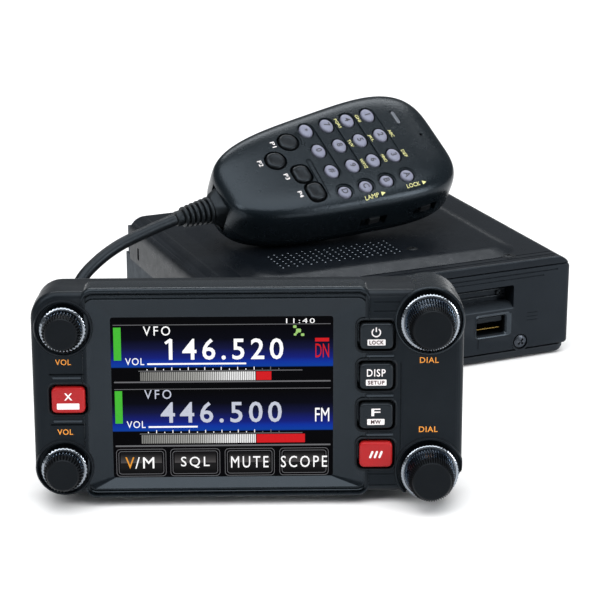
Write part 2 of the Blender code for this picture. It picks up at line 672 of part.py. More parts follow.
def mic_keys():
    for name, x, y, size in key_places():
        soft = name.startswith("soft")
        height = MIC_KEY_HIGH - MIC_KEY_LOW
        rod(name, size[0] / 2, height, (x, y, MIC_KEY_LOW + height / 2), MIC,
            "black_rubber" if soft else "grey_key", sides=12, squash=size[1] / size[0])
    for name, y in SIDE_SWITCHES.items():
        x = MIC_CENTRE[0] + wall_at(y, SIDE_SWITCH_UP)
        block(name, (4.0, 4.4, 2.8), (x - 1.2, y, SIDE_SWITCH_UP), MIC, "black_rubber")
    block("push_to_talk", TALK_SIZE, talk_place(-2.6), MIC, "black_rubber",
          turn=(0, 0, TALK_TURN), corner=2.6, axis=0, rim=0.8, rims=(-1,), steps=2)
    for name, side in (("up_key", 1), ("down_key", -1)):
        x = side * STEP_PLACE[0] + MIC_CENTRE[0]
        block(name, STEP_SIZE, (x, *STEP_PLACE[1:]), MIC, "black_rubber", corner=1.2, axis=1,
              steps=2)


def mic_fittings():
    turned("mic_hanger_stud",
           ((0, 0), (3.5, 0), (3.5, -2.0), (6.0, -2.0), (6.4, -2.6), (6.0, -4.4), (0, -4.6)),
           (MIC_CENTRE[0], 4.0, MIC_SEAM - MIC_REAR_DEPTH - GAP), MIC, "plated_metal", sides=20)
    profile = [(0, 0), (4.0, 0), (4.0, -5.6), (6.6, -5.6), (6.9, -8.0), (5.8, -11.6)]
    rings = 6
    ring_pitch = 2.0
    for index in range(rings):
        radius = 5.0 - 0.2 * index
        top = -11.9 - ring_pitch * index
        profile += [(radius, top), (radius, top - 1.3), (radius - 1.0, top - 1.5)]
    length = RELIEF_START - RELIEF_END
    profile += [(3.7, -24.0), (3.4, -length), (0, -length)]
    along = (-math.pi / 2, 0, 0)
    turned("cord_strain_relief", profile, (MIC_CENTRE[0], RELIEF_START, RELIEF_UP), MIC,
           "black_rubber", turn=along, sides=12)


# ---------------------------------------------------------------- microphone cord


def smooth_route(route, spacing):
    """Points every spacing millimetres on a smooth curve through the route's own points."""
    points = [Vector(point) for point in route]
    padded = [2 * points[0] - points[1], *points, 2 * points[-1] - points[-2]]
    fine = []
    for index in range(1, len(padded) - 2):
        before, here, there, after = padded[index - 1:index + 3]
        for step in range(20):
            t = step / 20
            fine.append(0.5 * (2 * here + (there - before) * t
                               + (2 * before - 5 * here + 4 * there - after) * t ** 2
                               + (3 * here - before - 3 * there + after) * t ** 3))
    fine.append(points[-1])
    result = [fine[0]]
    travelled = 0.0
    for first, second in zip(fine, fine[1:]):
        travelled += (second - first).length
        if travelled >= spacing:
            result.append(second)
            travelled = 0.0
    if travelled < spacing / 2:
        result.pop()
    result.append(fine[-1])
    return result


def tube(name, route, diameter, spacing):
    points = smooth_route(route, spacing)
    curve = bpy.data.curves.new(name, "CURVE")
    curve.dimensions = "3D"
    curve.bevel_depth = diameter / 2 * MM
    curve.bevel_resolution = 2
    curve.use_fill_caps = True
    spline = curve.splines.new("POLY")
    spline.points.add(len(points) - 1)
    for knot, point in zip(spline.points, points):
        knot.co = (*(point * MM), 1.0)
    return add_object(name, curve, WORLD, material="black_rubber")


def mic_cord():
    tube("mic_cord_lead", LEAD_ROUTE, CORD_DIAMETER, 8.0)
    tube("mic_cord_coil", CURL_ROUTE, CURL_DIAMETER, 10.0)
    tube("mic_cord_tail", TAIL_ROUTE, CORD_DIAMETER, 8.0)
    end = Vector(TAIL_ROUTE[-1])
    run = end - Vector(TAIL_ROUTE[-2])
    heading = math.atan2(run.y, run.x) - math.pi / 2
    middle = end + run.normalized() * (PLUG_SIZE[1] / 2 + GAP)
    block("mic_plug", PLUG_SIZE, (middle.x, middle.y, PLUG_SIZE[2] / 2 + 0.05), WORLD,
          "black_plastic", turn=(0, 0, heading), corner=1.0, axis=1, steps=2)


radio_covers()
radio_front_panel()
radio_chassis()
radio_insides()
radio_rear_fittings()
head_shells()
head_display()
head_bracket()
head_keys()
head_knobs()
mic_shells()
mic_keys()
mic_fittings()
mic_cord()
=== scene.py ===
"""Looks of the mobile transceiver: main unit, control head and hand microphone with its cord.

Each unit has its own frame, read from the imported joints. In the face frames x runs to the right,
y up the face and z out of it. Lengths are in millimetres until a mesh is made from them.
"""
import json
import math

import bmesh
import bpy
from mathutils import Matrix, Vector


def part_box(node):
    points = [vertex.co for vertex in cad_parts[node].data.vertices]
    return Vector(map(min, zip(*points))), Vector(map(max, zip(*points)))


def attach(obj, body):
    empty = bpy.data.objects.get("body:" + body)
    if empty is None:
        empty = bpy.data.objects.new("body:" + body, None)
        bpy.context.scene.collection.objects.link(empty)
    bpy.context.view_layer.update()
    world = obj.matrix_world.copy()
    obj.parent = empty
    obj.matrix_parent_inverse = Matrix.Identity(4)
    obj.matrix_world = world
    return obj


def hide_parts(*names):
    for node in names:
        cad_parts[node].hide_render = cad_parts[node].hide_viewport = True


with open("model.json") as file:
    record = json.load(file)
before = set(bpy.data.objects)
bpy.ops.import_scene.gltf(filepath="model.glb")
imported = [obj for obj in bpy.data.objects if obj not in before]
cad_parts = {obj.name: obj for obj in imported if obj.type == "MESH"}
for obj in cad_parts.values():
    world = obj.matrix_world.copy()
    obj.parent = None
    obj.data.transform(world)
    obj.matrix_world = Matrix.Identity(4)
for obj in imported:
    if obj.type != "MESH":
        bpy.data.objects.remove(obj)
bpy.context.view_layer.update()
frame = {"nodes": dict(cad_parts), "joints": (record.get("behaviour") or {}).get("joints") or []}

MM = 0.001
JOINTS = {joint["name"]: joint for joint in frame["joints"]}
UP = Vector((0.0, 0.0, 1.0))
RIGHT = Vector((1.0, 0.0, 0.0))

# ---------------------------------------------------------------- places


def axes(origin, right, up, out):
    """The matrix of a frame with these directions."""
    matrix = Matrix((right, up, out)).transposed().to_4x4()
    matrix.translation = origin
    return matrix


def box_centre(node):
    low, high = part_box(node)
    return (low + high) / 2


def in_frame(point, place):
    """A point of the row frame in a unit's own millimetres."""
    return (place.inverted() @ Vector(point)) / MM


def node_spot(node, place):
    return in_frame(box_centre(node), place)


RADIO_WIDTH = 142.0
RADIO_DEPTH = 125.0
RADIO_HEIGHT = 40.0
radio_back = Vector(JOINTS["fan_spin"]["axis"])
radio_right = radio_back.cross(UP)
RADIO = axes((0, 0, 0), radio_right, radio_back, UP)
PANEL = axes(-radio_back * RADIO_DEPTH / 2 * MM, radio_right, UP, -radio_back)
REAR = axes(radio_back * RADIO_DEPTH / 2 * MM, -radio_right, UP, radio_back)
LEFT_SIDE = axes(-radio_right * RADIO_WIDTH / 2 * MM, -radio_back, UP, -radio_right)
RIGHT_SIDE = axes(radio_right * RADIO_WIDTH / 2 * MM, radio_back, UP, radio_right)

DIAL_ON_FACE = (58.7, 24.4, 5.0)
head_back = Vector(JOINTS["power_key_press"]["axis"])
head_up = RIGHT.cross(head_back)
dial_point = Vector(JOINTS["upper_dial_turn"]["pos_m"])
face_origin = dial_point - (RIGHT * DIAL_ON_FACE[0] + head_up * DIAL_ON_FACE[1]
                            - head_back * DIAL_ON_FACE[2]) * MM
FACE = axes(face_origin, RIGHT, head_up, -head_back)

mic_out = -Vector(JOINTS["key_5_press"]["axis"])
mic_up = Vector(JOINTS["lamp_switch_slide"]["axis"])
mic_right = mic_up.cross(mic_out)
PAD_KEYS = ("key_1", "key_2", "key_3", "key_a", "key_4", "key_5", "key_6", "key_b", "key_7",
            "key_8", "key_9", "key_c", "key_star", "key_0", "key_hash", "key_d")
KEY_MIDDLE_UP = -0.55
pad_centre = sum((box_centre(key) for key in PAD_KEYS), Vector()) / len(PAD_KEYS)
MIC = axes(pad_centre - mic_out * KEY_MIDDLE_UP * MM, mic_right, mic_up, mic_out)

# ---------------------------------------------------------------- meshes


def rect_ring(width, height, corner, z, centre=(0.0, 0.0), steps=6):
    """A rounded rectangle's points, anticlockwise, at height z."""
    points = []
    for side_x, side_y, start in ((1, 1, 0), (-1, 1, 90), (-1, -1, 180), (1, -1, 270)):
        x = centre[0] + side_x * (width / 2 - corner)
        y = centre[1] + side_y * (height / 2 - corner)
        for step in range(steps + 1):
            angle = math.radians(start + 90 * step / steps)
            points.append((x + corner * math.cos(angle), y + corner * math.sin(angle), z))
    return points


def box_ring(left, right, low, high, corner, z, steps=6):
    return rect_ring(right - left, high - low, corner, z, ((left + right) / 2, (low + high) / 2),
                     steps)


def oval_ring(half_x, half_y, z, centre=(0.0, 0.0), sides=40):
    points = []
    for step in range(sides):
        angle = 2 * math.pi * step / sides
        points.append((centre[0] + half_x * math.cos(angle),
                       centre[1] + half_y * math.sin(angle), z))
    return points


def gear_ring(radius, depth, teeth, z, centre=(0.0, 0.0)):
    """A round ring whose teeth have four points each, two of them depth further in."""
    points = []
    for step in range(4 * teeth):
        angle = 2 * math.pi * step / (4 * teeth)
        reach = radius - (depth if step % 4 in (2, 3) else 0.0)
        points.append((centre[0] + reach * math.cos(angle),
                       centre[1] + reach * math.sin(angle), z))
    return points


def skin(bm, rings, closed=False):
    """Joins rings of points into a solid, with end caps or, when closed, back to the first."""
    rows = [[bm.verts.new(point) for point in ring] for ring in rings]
    pairs = list(zip(rows, rows[1:]))
    if closed:
        pairs.append((rows[-1], rows[0]))
    for low, high in pairs:
        count = len(low)
        for index in range(count):
            after = (index + 1) % count
            bm.faces.new((low[index], low[after], high[after], high[index]))
    if not closed:
        bm.faces.new(list(reversed(rows[0])))
        bm.faces.new(rows[-1])
    return bm


def rounding(top, radius, inset=0.0, steps=4):
    """The levels of a rounded rim: pairs of inset and height, up to the top."""
    levels = []
    for step in range(steps + 1):
        angle = math.pi / 2 * step / steps
        levels.append((inset + radius * (1 - math.cos(angle)),
                       top - radius + radius * math.sin(angle)))
    return levels


def slab(bm, width, height, corner, centre, levels, steps=6):
    """A rounded rectangular solid; each level is an inset and a height."""
    return skin(bm, [rect_ring(width - 2 * inset, height - 2 * inset, max(corner - inset, 0.12), z,
                               centre, steps) for inset, z in levels])


def spun(bm, profile, centre=(0.0, 0.0), sides=40, closed=False):
    """A solid of revolution about z; the profile lists radius and height upwards."""
    return skin(bm, [oval_ring(max(radius, 0.02), max(radius, 0.02), z, centre, sides)
                     for radius, z in profile], closed)


def block(bm, size, place, turn=0.0):
    """A plain box, for cutters and small bars."""
    matrix = Matrix.Translation(place) @ Matrix.Rotation(turn, 4, "Z") @ Matrix.Diagonal(
        (*size, 1.0))
    bmesh.ops.create_cube(bm, size=1.0, matrix=matrix)
    return bm


def bar(bm, length, width, place, low, high, turn=0.0, soft=0.2):
    """A low ridge with rounded ends and a rounded top."""
    part = bmesh.new()
    corner = width / 2 - 0.02
    slab(part, length, width, corner, (0, 0), [(0, low), *rounding(high, soft, steps=2)], 3)
    part.transform(Matrix.Translation((*place, 0.0)) @ Matrix.Rotation(turn, 4, "Z"))
    return absorb(bm, part)


def absorb(bm, part, matrix=None):
    """Adds one bmesh to another."""
    if matrix:
        part.transform(matrix)
    mesh = bpy.data.meshes.new("part")
    part.to_mesh(mesh)
    part.free()
    bm.from_mesh(mesh)
    bpy.data.meshes.remove(mesh)
    return bm


def loose_object(bm, name):
    bmesh.ops.recalc_face_normals(bm, faces=bm.faces)
    mesh = bpy.data.meshes.new(name)
    bm.to_mesh(mesh)
    bm.free()
    obj = bpy.data.objects.new(name, mesh)
    bpy.context.scene.collection.objects.link(obj)
    return obj


def carve(bm, cutter, operation="DIFFERENCE"):
    """The solid with the cutter taken away, as a new bmesh."""
    target = loose_object(bm, "carved")
    tool = loose_object(cutter, "cutter")
    modifier = target.modifiers.new("carve", "BOOLEAN")
    modifier.operation = operation
    modifier.solver = "EXACT"
    modifier.use_self = True
    modifier.object = tool
    depsgraph = bpy.context.evaluated_depsgraph_get()
    mesh = bpy.data.meshes.new_from_object(target.evaluated_get(depsgraph))
    result = bmesh.new()
    result.from_mesh(mesh)
    for obj in (target, tool):
        bpy.data.objects.remove(obj)
    bpy.data.meshes.remove(mesh)
    return result


def write(bm, text, height, centre, z, width=None, bold=0.0, turn=0.0, gap=1.0, thick=0.08):
    """Letters as thin solids that fit a height, and a width if one is given."""
    curve = bpy.data.curves.new("letters", "FONT")
    curve.body = text
    curve.offset = bold
    curve.extrude = 0.5
    curve.resolution_u = 3
    curve.space_character = gap
    obj = bpy.data.objects.new("letters", curve)
    bpy.context.scene.collection.objects.link(obj)
    depsgraph = bpy.context.evaluated_depsgraph_get()
    mesh = bpy.data.meshes.new_from_object(obj.evaluated_get(depsgraph))
    bpy.data.objects.remove(obj)
    bpy.data.curves.remove(curve)
    low = Vector([min(v.co[axis] for v in mesh.vertices) for axis in range(3)])
    high = Vector([max(v.co[axis] for v in mesh.vertices) for axis in range(3)])
    scale_y = height / (high.y - low.y)
    scale_x = width / (high.x - low.x) if width else scale_y
    mesh.transform(Matrix.Translation((*centre, z + thick / 2)) @ Matrix.Rotation(turn, 4, "Z")
                   @ Matrix.Diagonal((scale_x, scale_y, thick, 1.0))
                   @ Matrix.Translation(-(low + high) / 2))
    bm.from_mesh(mesh)
    bpy.data.meshes.remove(mesh)
    bmesh.ops.remove_doubles(bm, verts=bm.verts, dist=0.0005)
    return bm


def piece(name, bm, place, body, material, replaces=(), sharp=32.0, level=True):
    """Makes a finished piece from a bmesh in a unit's millimetres. A level piece keeps the
    row frame's axes, so its box fits it closely."""
    bmesh.ops.recalc_face_normals(bm, faces=bm.faces)
    bm.transform(Matrix.Scale(MM, 4))
    if level:
        bm.transform(place.to_3x3().to_4x4())
        place = Matrix.Translation(place.translation)
    mesh = bpy.data.meshes.new(name)
    bm.to_mesh(mesh)
    bm.free()
    mesh.shade_smooth()
    mesh.set_sharp_from_angle(angle=math.radians(sharp))
    mesh.materials.append(material)
    obj = bpy.data.objects.new(name, mesh)
    bpy.context.scene.collection.objects.link(obj)
    weights = obj.modifiers.new("weights", "WEIGHTED_NORMAL")
    weights.keep_sharp = True
    obj.matrix_world = place
    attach(obj, body)
    if replaces:
        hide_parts(*replaces)
    return obj


# ---------------------------------------------------------------- materials


def linear(code):
    """A colour's linear values from its hexadecimal code."""
    values = [int(code[start:start + 2], 16) / 255 for start in (0, 2, 4)]
    return tuple(v / 12.92 if v <= 0.04045 else ((v + 0.055) / 1.055) ** 2.4 for v in values)


class Nodes:
    """A material's node tree with short calls for the nodes used here."""

    def __init__(self, name):
        self.material = bpy.data.materials.new(name)
        self.material.use_nodes = True
        self.tree = self.material.node_tree
        self.shader = self.tree.nodes["Principled BSDF"]
        self.spot = self.tree.nodes.new("ShaderNodeTexCoord").outputs["Object"]

    def link(self, source, target):
        self.tree.links.new(source, target)

    def noise(self, scale, detail=3.0, rough=0.55):
        node = self.tree.nodes.new("ShaderNodeTexNoise")
        node.inputs["Scale"].default_value = scale
        node.inputs["Detail"].default_value = detail
        node.inputs["Roughness"].default_value = rough
        self.link(self.spot, node.inputs["Vector"])
        return node.outputs["Fac"]

    def spread(self, source, low, high, start=0.3, end=0.7):
        node = self.tree.nodes.new("ShaderNodeMapRange")
        node.inputs["From Min"].default_value = start
        node.inputs["From Max"].default_value = end
        node.inputs["To Min"].default_value = low
        node.inputs["To Max"].default_value = high
        self.link(source, node.inputs["Value"])
        return node.outputs["Result"]

    def blend(self, factor, first, second):
        node = self.tree.nodes.new("ShaderNodeMix")
        node.data_type = "RGBA"
        for socket, value in ((node.inputs[6], first), (node.inputs[7], second)):
            if isinstance(value, tuple):
                socket.default_value = (*value, 1.0)
            else:
                self.link(value, socket)
        self.link(factor, node.inputs["Factor"])
        return node.outputs[2]

    def ramp(self, source, stops):
        node = self.tree.nodes.new("ShaderNodeValToRGB")
        band = node.color_ramp
        while len(band.elements) < len(stops):
            band.elements.new(0.5)
        for element, (position, colour) in zip(band.elements, stops):
            element.position = position
            element.color = (*colour, 1.0)
        self.link(source, node.inputs["Fac"])
        return node.outputs["Color"]

    def bump(self, height, distance, strength=1.0, below=None):
        node = self.tree.nodes.new("ShaderNodeBump")
        node.inputs["Distance"].default_value = distance
        node.inputs["Strength"].default_value = strength
        self.link(height, node.inputs["Height"])
        if below:
            self.link(below, node.inputs["Normal"])
        return node.outputs["Normal"]

    def along(self, axis):
        node = self.tree.nodes.new("ShaderNodeSeparateXYZ")
        self.link(self.spot, node.inputs["Vector"])
        return node.outputs[axis]

    def edges(self):
        return self.tree.nodes.new("ShaderNodeNewGeometry").outputs["Pointiness"]


def surface(name, code, rough=0.45, metal=0.0, grain=1500.0, depth=0.03, mottle=0.25, wear_and_highlight=0.35,
            coat=0.0, specular=0.25, scuff=1.0):
    """A moulded, painted or rubber surface: grained, faintly mottled and paler on its edges, partly
    as wear and partly as a painted highlight.
    Grain is in bumps to the metre and depth in millimetres."""
    made = Nodes(name)
    base = linear(code)
    dark = tuple(channel * (1 - mottle) for channel in base)
    pale = tuple(channel * (1 + mottle) + 0.002 for channel in base)
    worn_and_highlit = tuple(channel * 2.2 + 0.02 for channel in base)
    grains = made.noise(grain, 2.0, 0.6)
    clouds = made.noise(90.0, 4.0)
    colour = made.blend(made.spread(clouds, 0.2, 0.8), dark, pale)
    colour = made.blend(made.spread(grains, 0.0, 0.5), colour, base)
    # Edges paler by pointiness: partly wear, partly a painted highlight along the rims.
    colour = made.blend(made.spread(made.edges(), 0.0, wear_and_highlight, 0.52, 0.60), colour, worn_and_highlit)
    made.link(colour, made.shader.inputs["Base Color"])
    scuffs = made.noise(260.0, 5.0, 0.65)
    made.link(made.spread(scuffs, rough - 0.05 * scuff, rough + 0.07 * scuff),
              made.shader.inputs["Roughness"])
    made.link(made.bump(grains, depth * MM, 0.7), made.shader.inputs["Normal"])
    made.shader.inputs["Metallic"].default_value = metal
    made.shader.inputs["Coat Weight"].default_value = coat
    made.shader.inputs["Coat Roughness"].default_value = 0.12
    made.shader.inputs["Specular IOR Level"].default_value = specular
    made.shader.inputs["Specular Tint"].default_value = (0.72, 0.86, 1.0, 1.0)
    return made.material


def ink(name, code, glow=0.0, rough=0.4):
    """Printed or lit lettering, with a slightly uneven film."""
    made = Nodes(name)
    base = linear(code)
    film = made.spread(made.noise(1800.0, 3.0), 0.0, 1.0)
    colour = made.blend(film, tuple(channel * 0.88 for channel in base), base)
    made.link(colour, made.shader.inputs["Base Color"])
    made.link(made.bump(film, 0.00001, 0.3), made.shader.inputs["Normal"])
    made.shader.inputs["Roughness"].default_value = rough
    if glow:
        dim = tuple(channel * 0.1 for channel in base)
        made.link(made.blend(film, dim, dim), made.shader.inputs["Base Color"])
        made.shader.inputs["Specular IOR Level"].default_value = 0.04
        made.link(colour, made.shader.inputs["Emission Color"])
        made.shader.inputs["Emission Strength"].default_value = glow
    return made.material


def lit_ramp(name, axis, low, high, stops, glow=1.0):
    """A lit part of the screen whose colour follows its place, from low to high millimetres."""
    made = Nodes(name)
    share = made.spread(made.along(axis), 0.0, 1.0, low * MM, high * MM)
    dots = made.spread(made.noise(3000.0, 1.0), 0.9, 1.0)
    colours = made.ramp(share, [((place - low) / (high - low), linear(code))
                                for place, code in stops])
    colour = made.blend(dots, (0.0, 0.0, 0.0), colours)
    made.shader.inputs["Base Color"].default_value = (0.001, 0.001, 0.0015, 1.0)
    made.link(colour, made.shader.inputs["Emission Color"])
    made.shader.inputs["Emission Strength"].default_value = glow
    made.shader.inputs["Roughness"].default_value = 0.12
    made.shader.inputs["Specular IOR Level"].default_value = 0.015
    made.link(made.bump(made.noise(2200.0, 1.0), 0.000004, 0.3), made.shader.inputs["Normal"])
    return made.material


SCREEN_BANDS = [(-27.1, "000000"), (-11.3, "000000"), (-11.2, "0a3f9e"), (-9.6, "0d33a0"),
                (-8.2, "14207a"), (-5.0, "10143c"), (-2.0, "03040f"), (2.0, "000000"),
                (10.3, "000000"), (10.4, "0a3f9e"), (12.0, "0d33a0"), (13.4, "14207a"),
                (16.6, "10143c"), (19.6, "03040f"), (24.5, "000000")]
CASTING = surface("cast_metal", "14171b", 0.5, metal=0.3, grain=900.0, depth=0.06)
COVER = surface("cover_paint", "0b0f14", 0.3, grain=1300.0, depth=0.035, specular=0.12)
BEZEL = surface("bezel_plastic", "0a0e12", 0.36, grain=1600.0, depth=0.03, specular=0.16)
FRAME = surface("frame_plastic", "0b1014", 0.26, grain=1600.0, depth=0.015, specular=0.32)
# Near-black, darker than the other plastics: the own black of the jack tongue, microphone socket
# and seam core, and painted shade on the key wells and screw seat rings.
WELL_BLACK_AND_SHADE = surface("well_plastic_and_painted_shade", "050608", 0.5, grain=1600.0, depth=0.03, wear_and_highlight=0.1)
KEYTOP = surface("key_plastic", "121518", 0.3, grain=1900.0, depth=0.015)
RED = surface("red_plastic", "a31a1a", 0.3, grain=1900.0, depth=0.012, mottle=0.08, wear_and_highlight=0.1)
CAP = surface("cap_plastic", "060709", 0.42, grain=1700.0, depth=0.02, specular=0.14)
RING = surface("ring_metal", "858b92", 0.22, metal=1.0, grain=2400.0, depth=0.01, mottle=0.15)
# Pale grey dots in the grille holes: the mesh behind them with a painted glint.
MESH = surface("grille_mesh_painted_glint", "6d747d", 0.3, grain=1500.0, depth=0.01, specular=0.6)
CHROME = surface("bright_metal", "80868d", 0.16, metal=1.0, grain=2400.0, depth=0.008,
                 mottle=0.08)
GOLD = surface("gold_contacts", "6e5a2c", 0.3, metal=1.0, grain=2400.0, depth=0.006,
               mottle=0.1)
STEEL = surface("screw_steel", "3a3e44", 0.3, metal=1.0, grain=2200.0, depth=0.012)
BLACK = surface("black_plastic", "090b0d", 0.4, grain=1500.0, depth=0.03)
MIC_SKIN = surface("microphone_plastic", "0b1115", 0.26, grain=1250.0, depth=0.1, mottle=0.1,
                   wear_and_highlight=0.15, specular=0.3, scuff=0.3)
MIC_RUBBER = surface("soft_key_rubber", "0a0c0e", 0.3, grain=1700.0, depth=0.02)
GREY = surface("grey_keytop", "77798a", 0.3, grain=1900.0, depth=0.012, mottle=0.06, wear_and_highlight=0.1)
RUBBER = surface("black_rubber", "0e1113", 0.45, grain=1100.0, depth=0.05)
SHEATH = surface("cord_sheath", "0b0e11", 0.36, grain=1500.0, depth=0.03)
BOARD = surface("circuit_board", "14502c", 0.4, grain=700.0, depth=0.06)
LENS = surface("lamp_lens", "5b5f66", 0.2, grain=1500.0, depth=0.01, coat=0.6)
CLEAR = surface("plug_plastic", "8d9398", 0.22, grain=1500.0, depth=0.01, coat=0.5)
WHITE = ink("white_ink", "f2ecec")
DARK_INK = ink("dark_ink", "1c1d26")
RED_INK = ink("red_ink", "3a1018")
SLOPE = surface("slope_plastic", "0b0f13", 0.2, grain=1600.0, depth=0.01, specular=0.34)
PANEL_PAINT = surface("panel_paint", "0d1116", 0.34, grain=1300.0, depth=0.035, specular=0.18)
# Paler than the panel paint: partly the moulding's own tone, partly a painted highlight on the dock
# ledge and socket surround.
MOULDING_AND_HIGHLIGHT = surface("moulded_plastic_and_painted_highlight", "161b20", 0.3, grain=1600.0, depth=0.015, specular=0.4)
# Paler than the bezel so the raised bars read as light lines: a painted highlight.
RIDGE_HIGHLIGHT = surface("ridge_plastic_painted_highlight", "1d2227", 0.3, grain=1600.0, depth=0.015, specular=0.45)
ORANGE = ink("orange_ink", "f2992e")
YELLOW = ink("yellow_ink", "d9d690")
GLOW_WHITE = ink("screen_white", "ffffff", 1.0)
GLOW_PALE = ink("screen_pale", "b8bcca", 1.1)
GLOW_GREEN = ink("screen_green", "44b534", 1.0)
GLOW_RED = ink("screen_red", "d31c22", 0.9)
GLOW_GREY = ink("screen_grey", "8c8c90", 0.45)
GLOW_ORANGE = ink("screen_orange", "f0a03a", 0.9)
GLOW_LEAF = ink("screen_leaf", "a8d87c", 0.8)
SCREEN = lit_ramp("screen_base", "Y", -27.1, 27.1, SCREEN_BANDS)
METER = lit_ramp("screen_meter", "X", -35.0, 3.0,
                 [(-35.0, "5a5a58"), (-25.0, "8c8c88"), (-8.0, "b4b4b0"), (3.0, "ffffff")])
BUTTON_TOP = lit_ramp("screen_button_top", "Y", -23.6, -19.2,
                      [(-23.6, "6a6668"), (-21.6, "454343"), (-19.2, "181818")])
BUTTON_LOW = lit_ramp("screen_button_low", "Y", -28.4, -23.6,
                      [(-28.4, "060606"), (-25.0, "101010"), (-23.6, "1b1b1b")])

# ---------------------------------------------------------------- camera, light and floor

CAMERA_PLACE = (-0.03331, -0.78247, 0.27888)
CAMERA_PITCH = 0.32965
CAMERA_YAW = 0.02284
CAMERA_LENS = 122.48


def make_camera():
    camera = bpy.data.cameras.new("camera")
    camera.lens = CAMERA_LENS
    camera.sensor_width = 36.0
    camera.clip_start = 0.01
    obj = bpy.data.objects.new("camera", camera)
    bpy.context.scene.collection.objects.link(obj)
    forward = Vector((math.sin(CAMERA_YAW) * math.cos(CAMERA_PITCH),
                      math.cos(CAMERA_YAW) * math.cos(CAMERA_PITCH), -math.sin(CAMERA_PITCH)))
    obj.location = CAMERA_PLACE
    obj.rotation_mode = "QUATERNION"
    obj.rotation_quaternion = forward.to_track_quat("-Z", "Y")
    bpy.context.scene.camera = obj


def area_light(name, place, aim, size, energy):
    light = bpy.data.lights.new(name, "AREA")
    light.shape = "RECTANGLE"
    light.size, light.size_y = size
    light.energy = energy
    obj = bpy.data.objects.new(name, light)
    bpy.context.scene.collection.objects.link(obj)
    obj.location = place
    obj.rotation_mode = "QUATERNION"
    obj.rotation_quaternion = (Vector(aim) - Vector(place)).to_track_quat("-Z", "Y")


def make_studio():
    world = bpy.data.worlds.new("studio")
    world.use_nodes = True
    background = world.node_tree.nodes["Background"]
    background.inputs["Color"].default_value = (0.88, 0.94, 1.0, 1.0)
    background.inputs["Strength"].default_value = 0.2
    bpy.context.scene.world = world
    bpy.context.scene.view_settings.view_transform = "Standard"
    middle = (0.0, -0.05, 0.03)
    area_light("softbox_top", (0.0, -0.8, 2.2), middle, (3.2, 2.2), 78.0)
    area_light("softbox_left", (-1.0, -0.9, 0.9), middle, (0.6, 0.6), 6.0)
    area_light("softbox_right", (0.95, -0.65, 0.35), middle, (0.35, 0.5), 6.0)
    area_light("softbox_back", (0.0, 1.1, 1.5), middle, (1.8, 0.5), 15.0)
    floor = bmesh.new()
    bmesh.ops.create_grid(floor, x_segments=8, y_segments=8, size=3.0)
    mesh = bpy.data.meshes.new("floor")
    floor.to_mesh(mesh)
    floor.free()
    made = Nodes("floor_paper")
    speck = made.noise(60.0, 4.0)
    made.link(made.blend(speck, (0.86, 0.86, 0.86), (0.9, 0.9, 0.9)),
              made.shader.inputs["Base Color"])
    made.shader.inputs["Roughness"].default_value = 0.7
    mesh.materials.append(made.material)
    obj = bpy.data.objects.new("floor", mesh)
    bpy.context.scene.collection.objects.link(obj)
    obj.location = (0.0, 0.0, -0.0004)


# ---------------------------------------------------------------- microphone cord

CORD_DIAMETER = 4.6
CURL_RADIUS = 4.2
CURL_PITCH = 4.85
CURL_EASE = 9.0
CURL_STEPS = 18
LEAD_ROUTE = (
    (-63.9, -35.7, 56.1),
    (-73.2, -41.3, 53.6),
    (-84.2, -48.2, 50.0),
    (-92.5, -55.2, 45.6),
    (-98.6, -62.5, 40.0),
    (-102.3, -71.0, 30.5),
    (-103.4, -82.0, 18.8),
    (-101.5, -93.0, 9.8),
    (-97.0, -101.0, 7.2),
    (-90.6, -104.4, 6.9),
)
CURL_ROUTE = (
    (-90.0, -104.6, 6.9),
    (-76.0, -108.5, 6.9),
    (-56.0, -110.0, 6.9),
    (-36.0, -110.0, 6.9),
    (-16.0, -110.0, 6.9),
    (2.0, -109.0, 6.9),
    (16.0, -103.0, 6.9),
    (22.0, -92.0, 6.9),
    (16.0, -81.0, 6.9),
    (2.0, -79.0, 6.9),
    (-14.0, -82.0, 6.9),
    (-30.0, -87.5, 6.9),
)
TAIL_ROUTE = (
    (-30.7, -87.8, 6.8),
    (-38.0, -90.0, 5.0),
    (-48.0, -91.0, 3.4),
    (-60.0, -89.0, 3.3),
)


def smooth_route(route, steps):
    """A smooth curve through the route's points, with that many points for each stretch."""
    points = [Vector(point) for point in route]
    padded = [2 * points[0] - points[1], *points, 2 * points[-1] - points[-2]]
    fine = []
    for index in range(1, len(padded) - 2):
        before, here, there, after = padded[index - 1:index + 3]
        for step in range(steps):
            t = step / steps
            fine.append(0.5 * (2 * here + (there - before) * t
                               + (2 * before - 5 * here + 4 * there - after) * t ** 2
                               + (3 * here - before - 3 * there + after) * t ** 3))
    fine.append(points[-1])
    return fine


def curl(route):
    """A helix round the route. Its turns open a little where the route bends."""
    line = smooth_route(route, 60)
    run = [0.0]
    for first, second in zip(line, line[1:]):
        run.append(run[-1] + (second - first).length)
    points = []
    turn = 0.0
    side = UP.copy()
    next_turn = 0.0
    for index in range(1, len(line) - 1):
        ahead = (line[index + 1] - line[index]).normalized()
        behind = (line[index] - line[index - 1]).normalized()
        step = run[index] - run[index - 1]
        bend = (ahead - behind).length / max(step, 1e-6)
        pitch = CURL_PITCH / (1 - min(0.6, CURL_RADIUS * bend))
        turn += 2 * math.pi * step / pitch
        side = (side - side.dot(ahead) * ahead).normalized()
        across = ahead.cross(side)
        if turn >= next_turn:
            end = min(run[index], run[-1] - run[index]) / CURL_EASE
            reach = min(1.0, end)
            radius = CURL_RADIUS * reach * reach * (3 - 2 * reach)
            points.append(line[index] + radius * (math.cos(turn) * side
                                                  + math.sin(turn) * across))
            next_turn += 2 * math.pi / CURL_STEPS
    return points


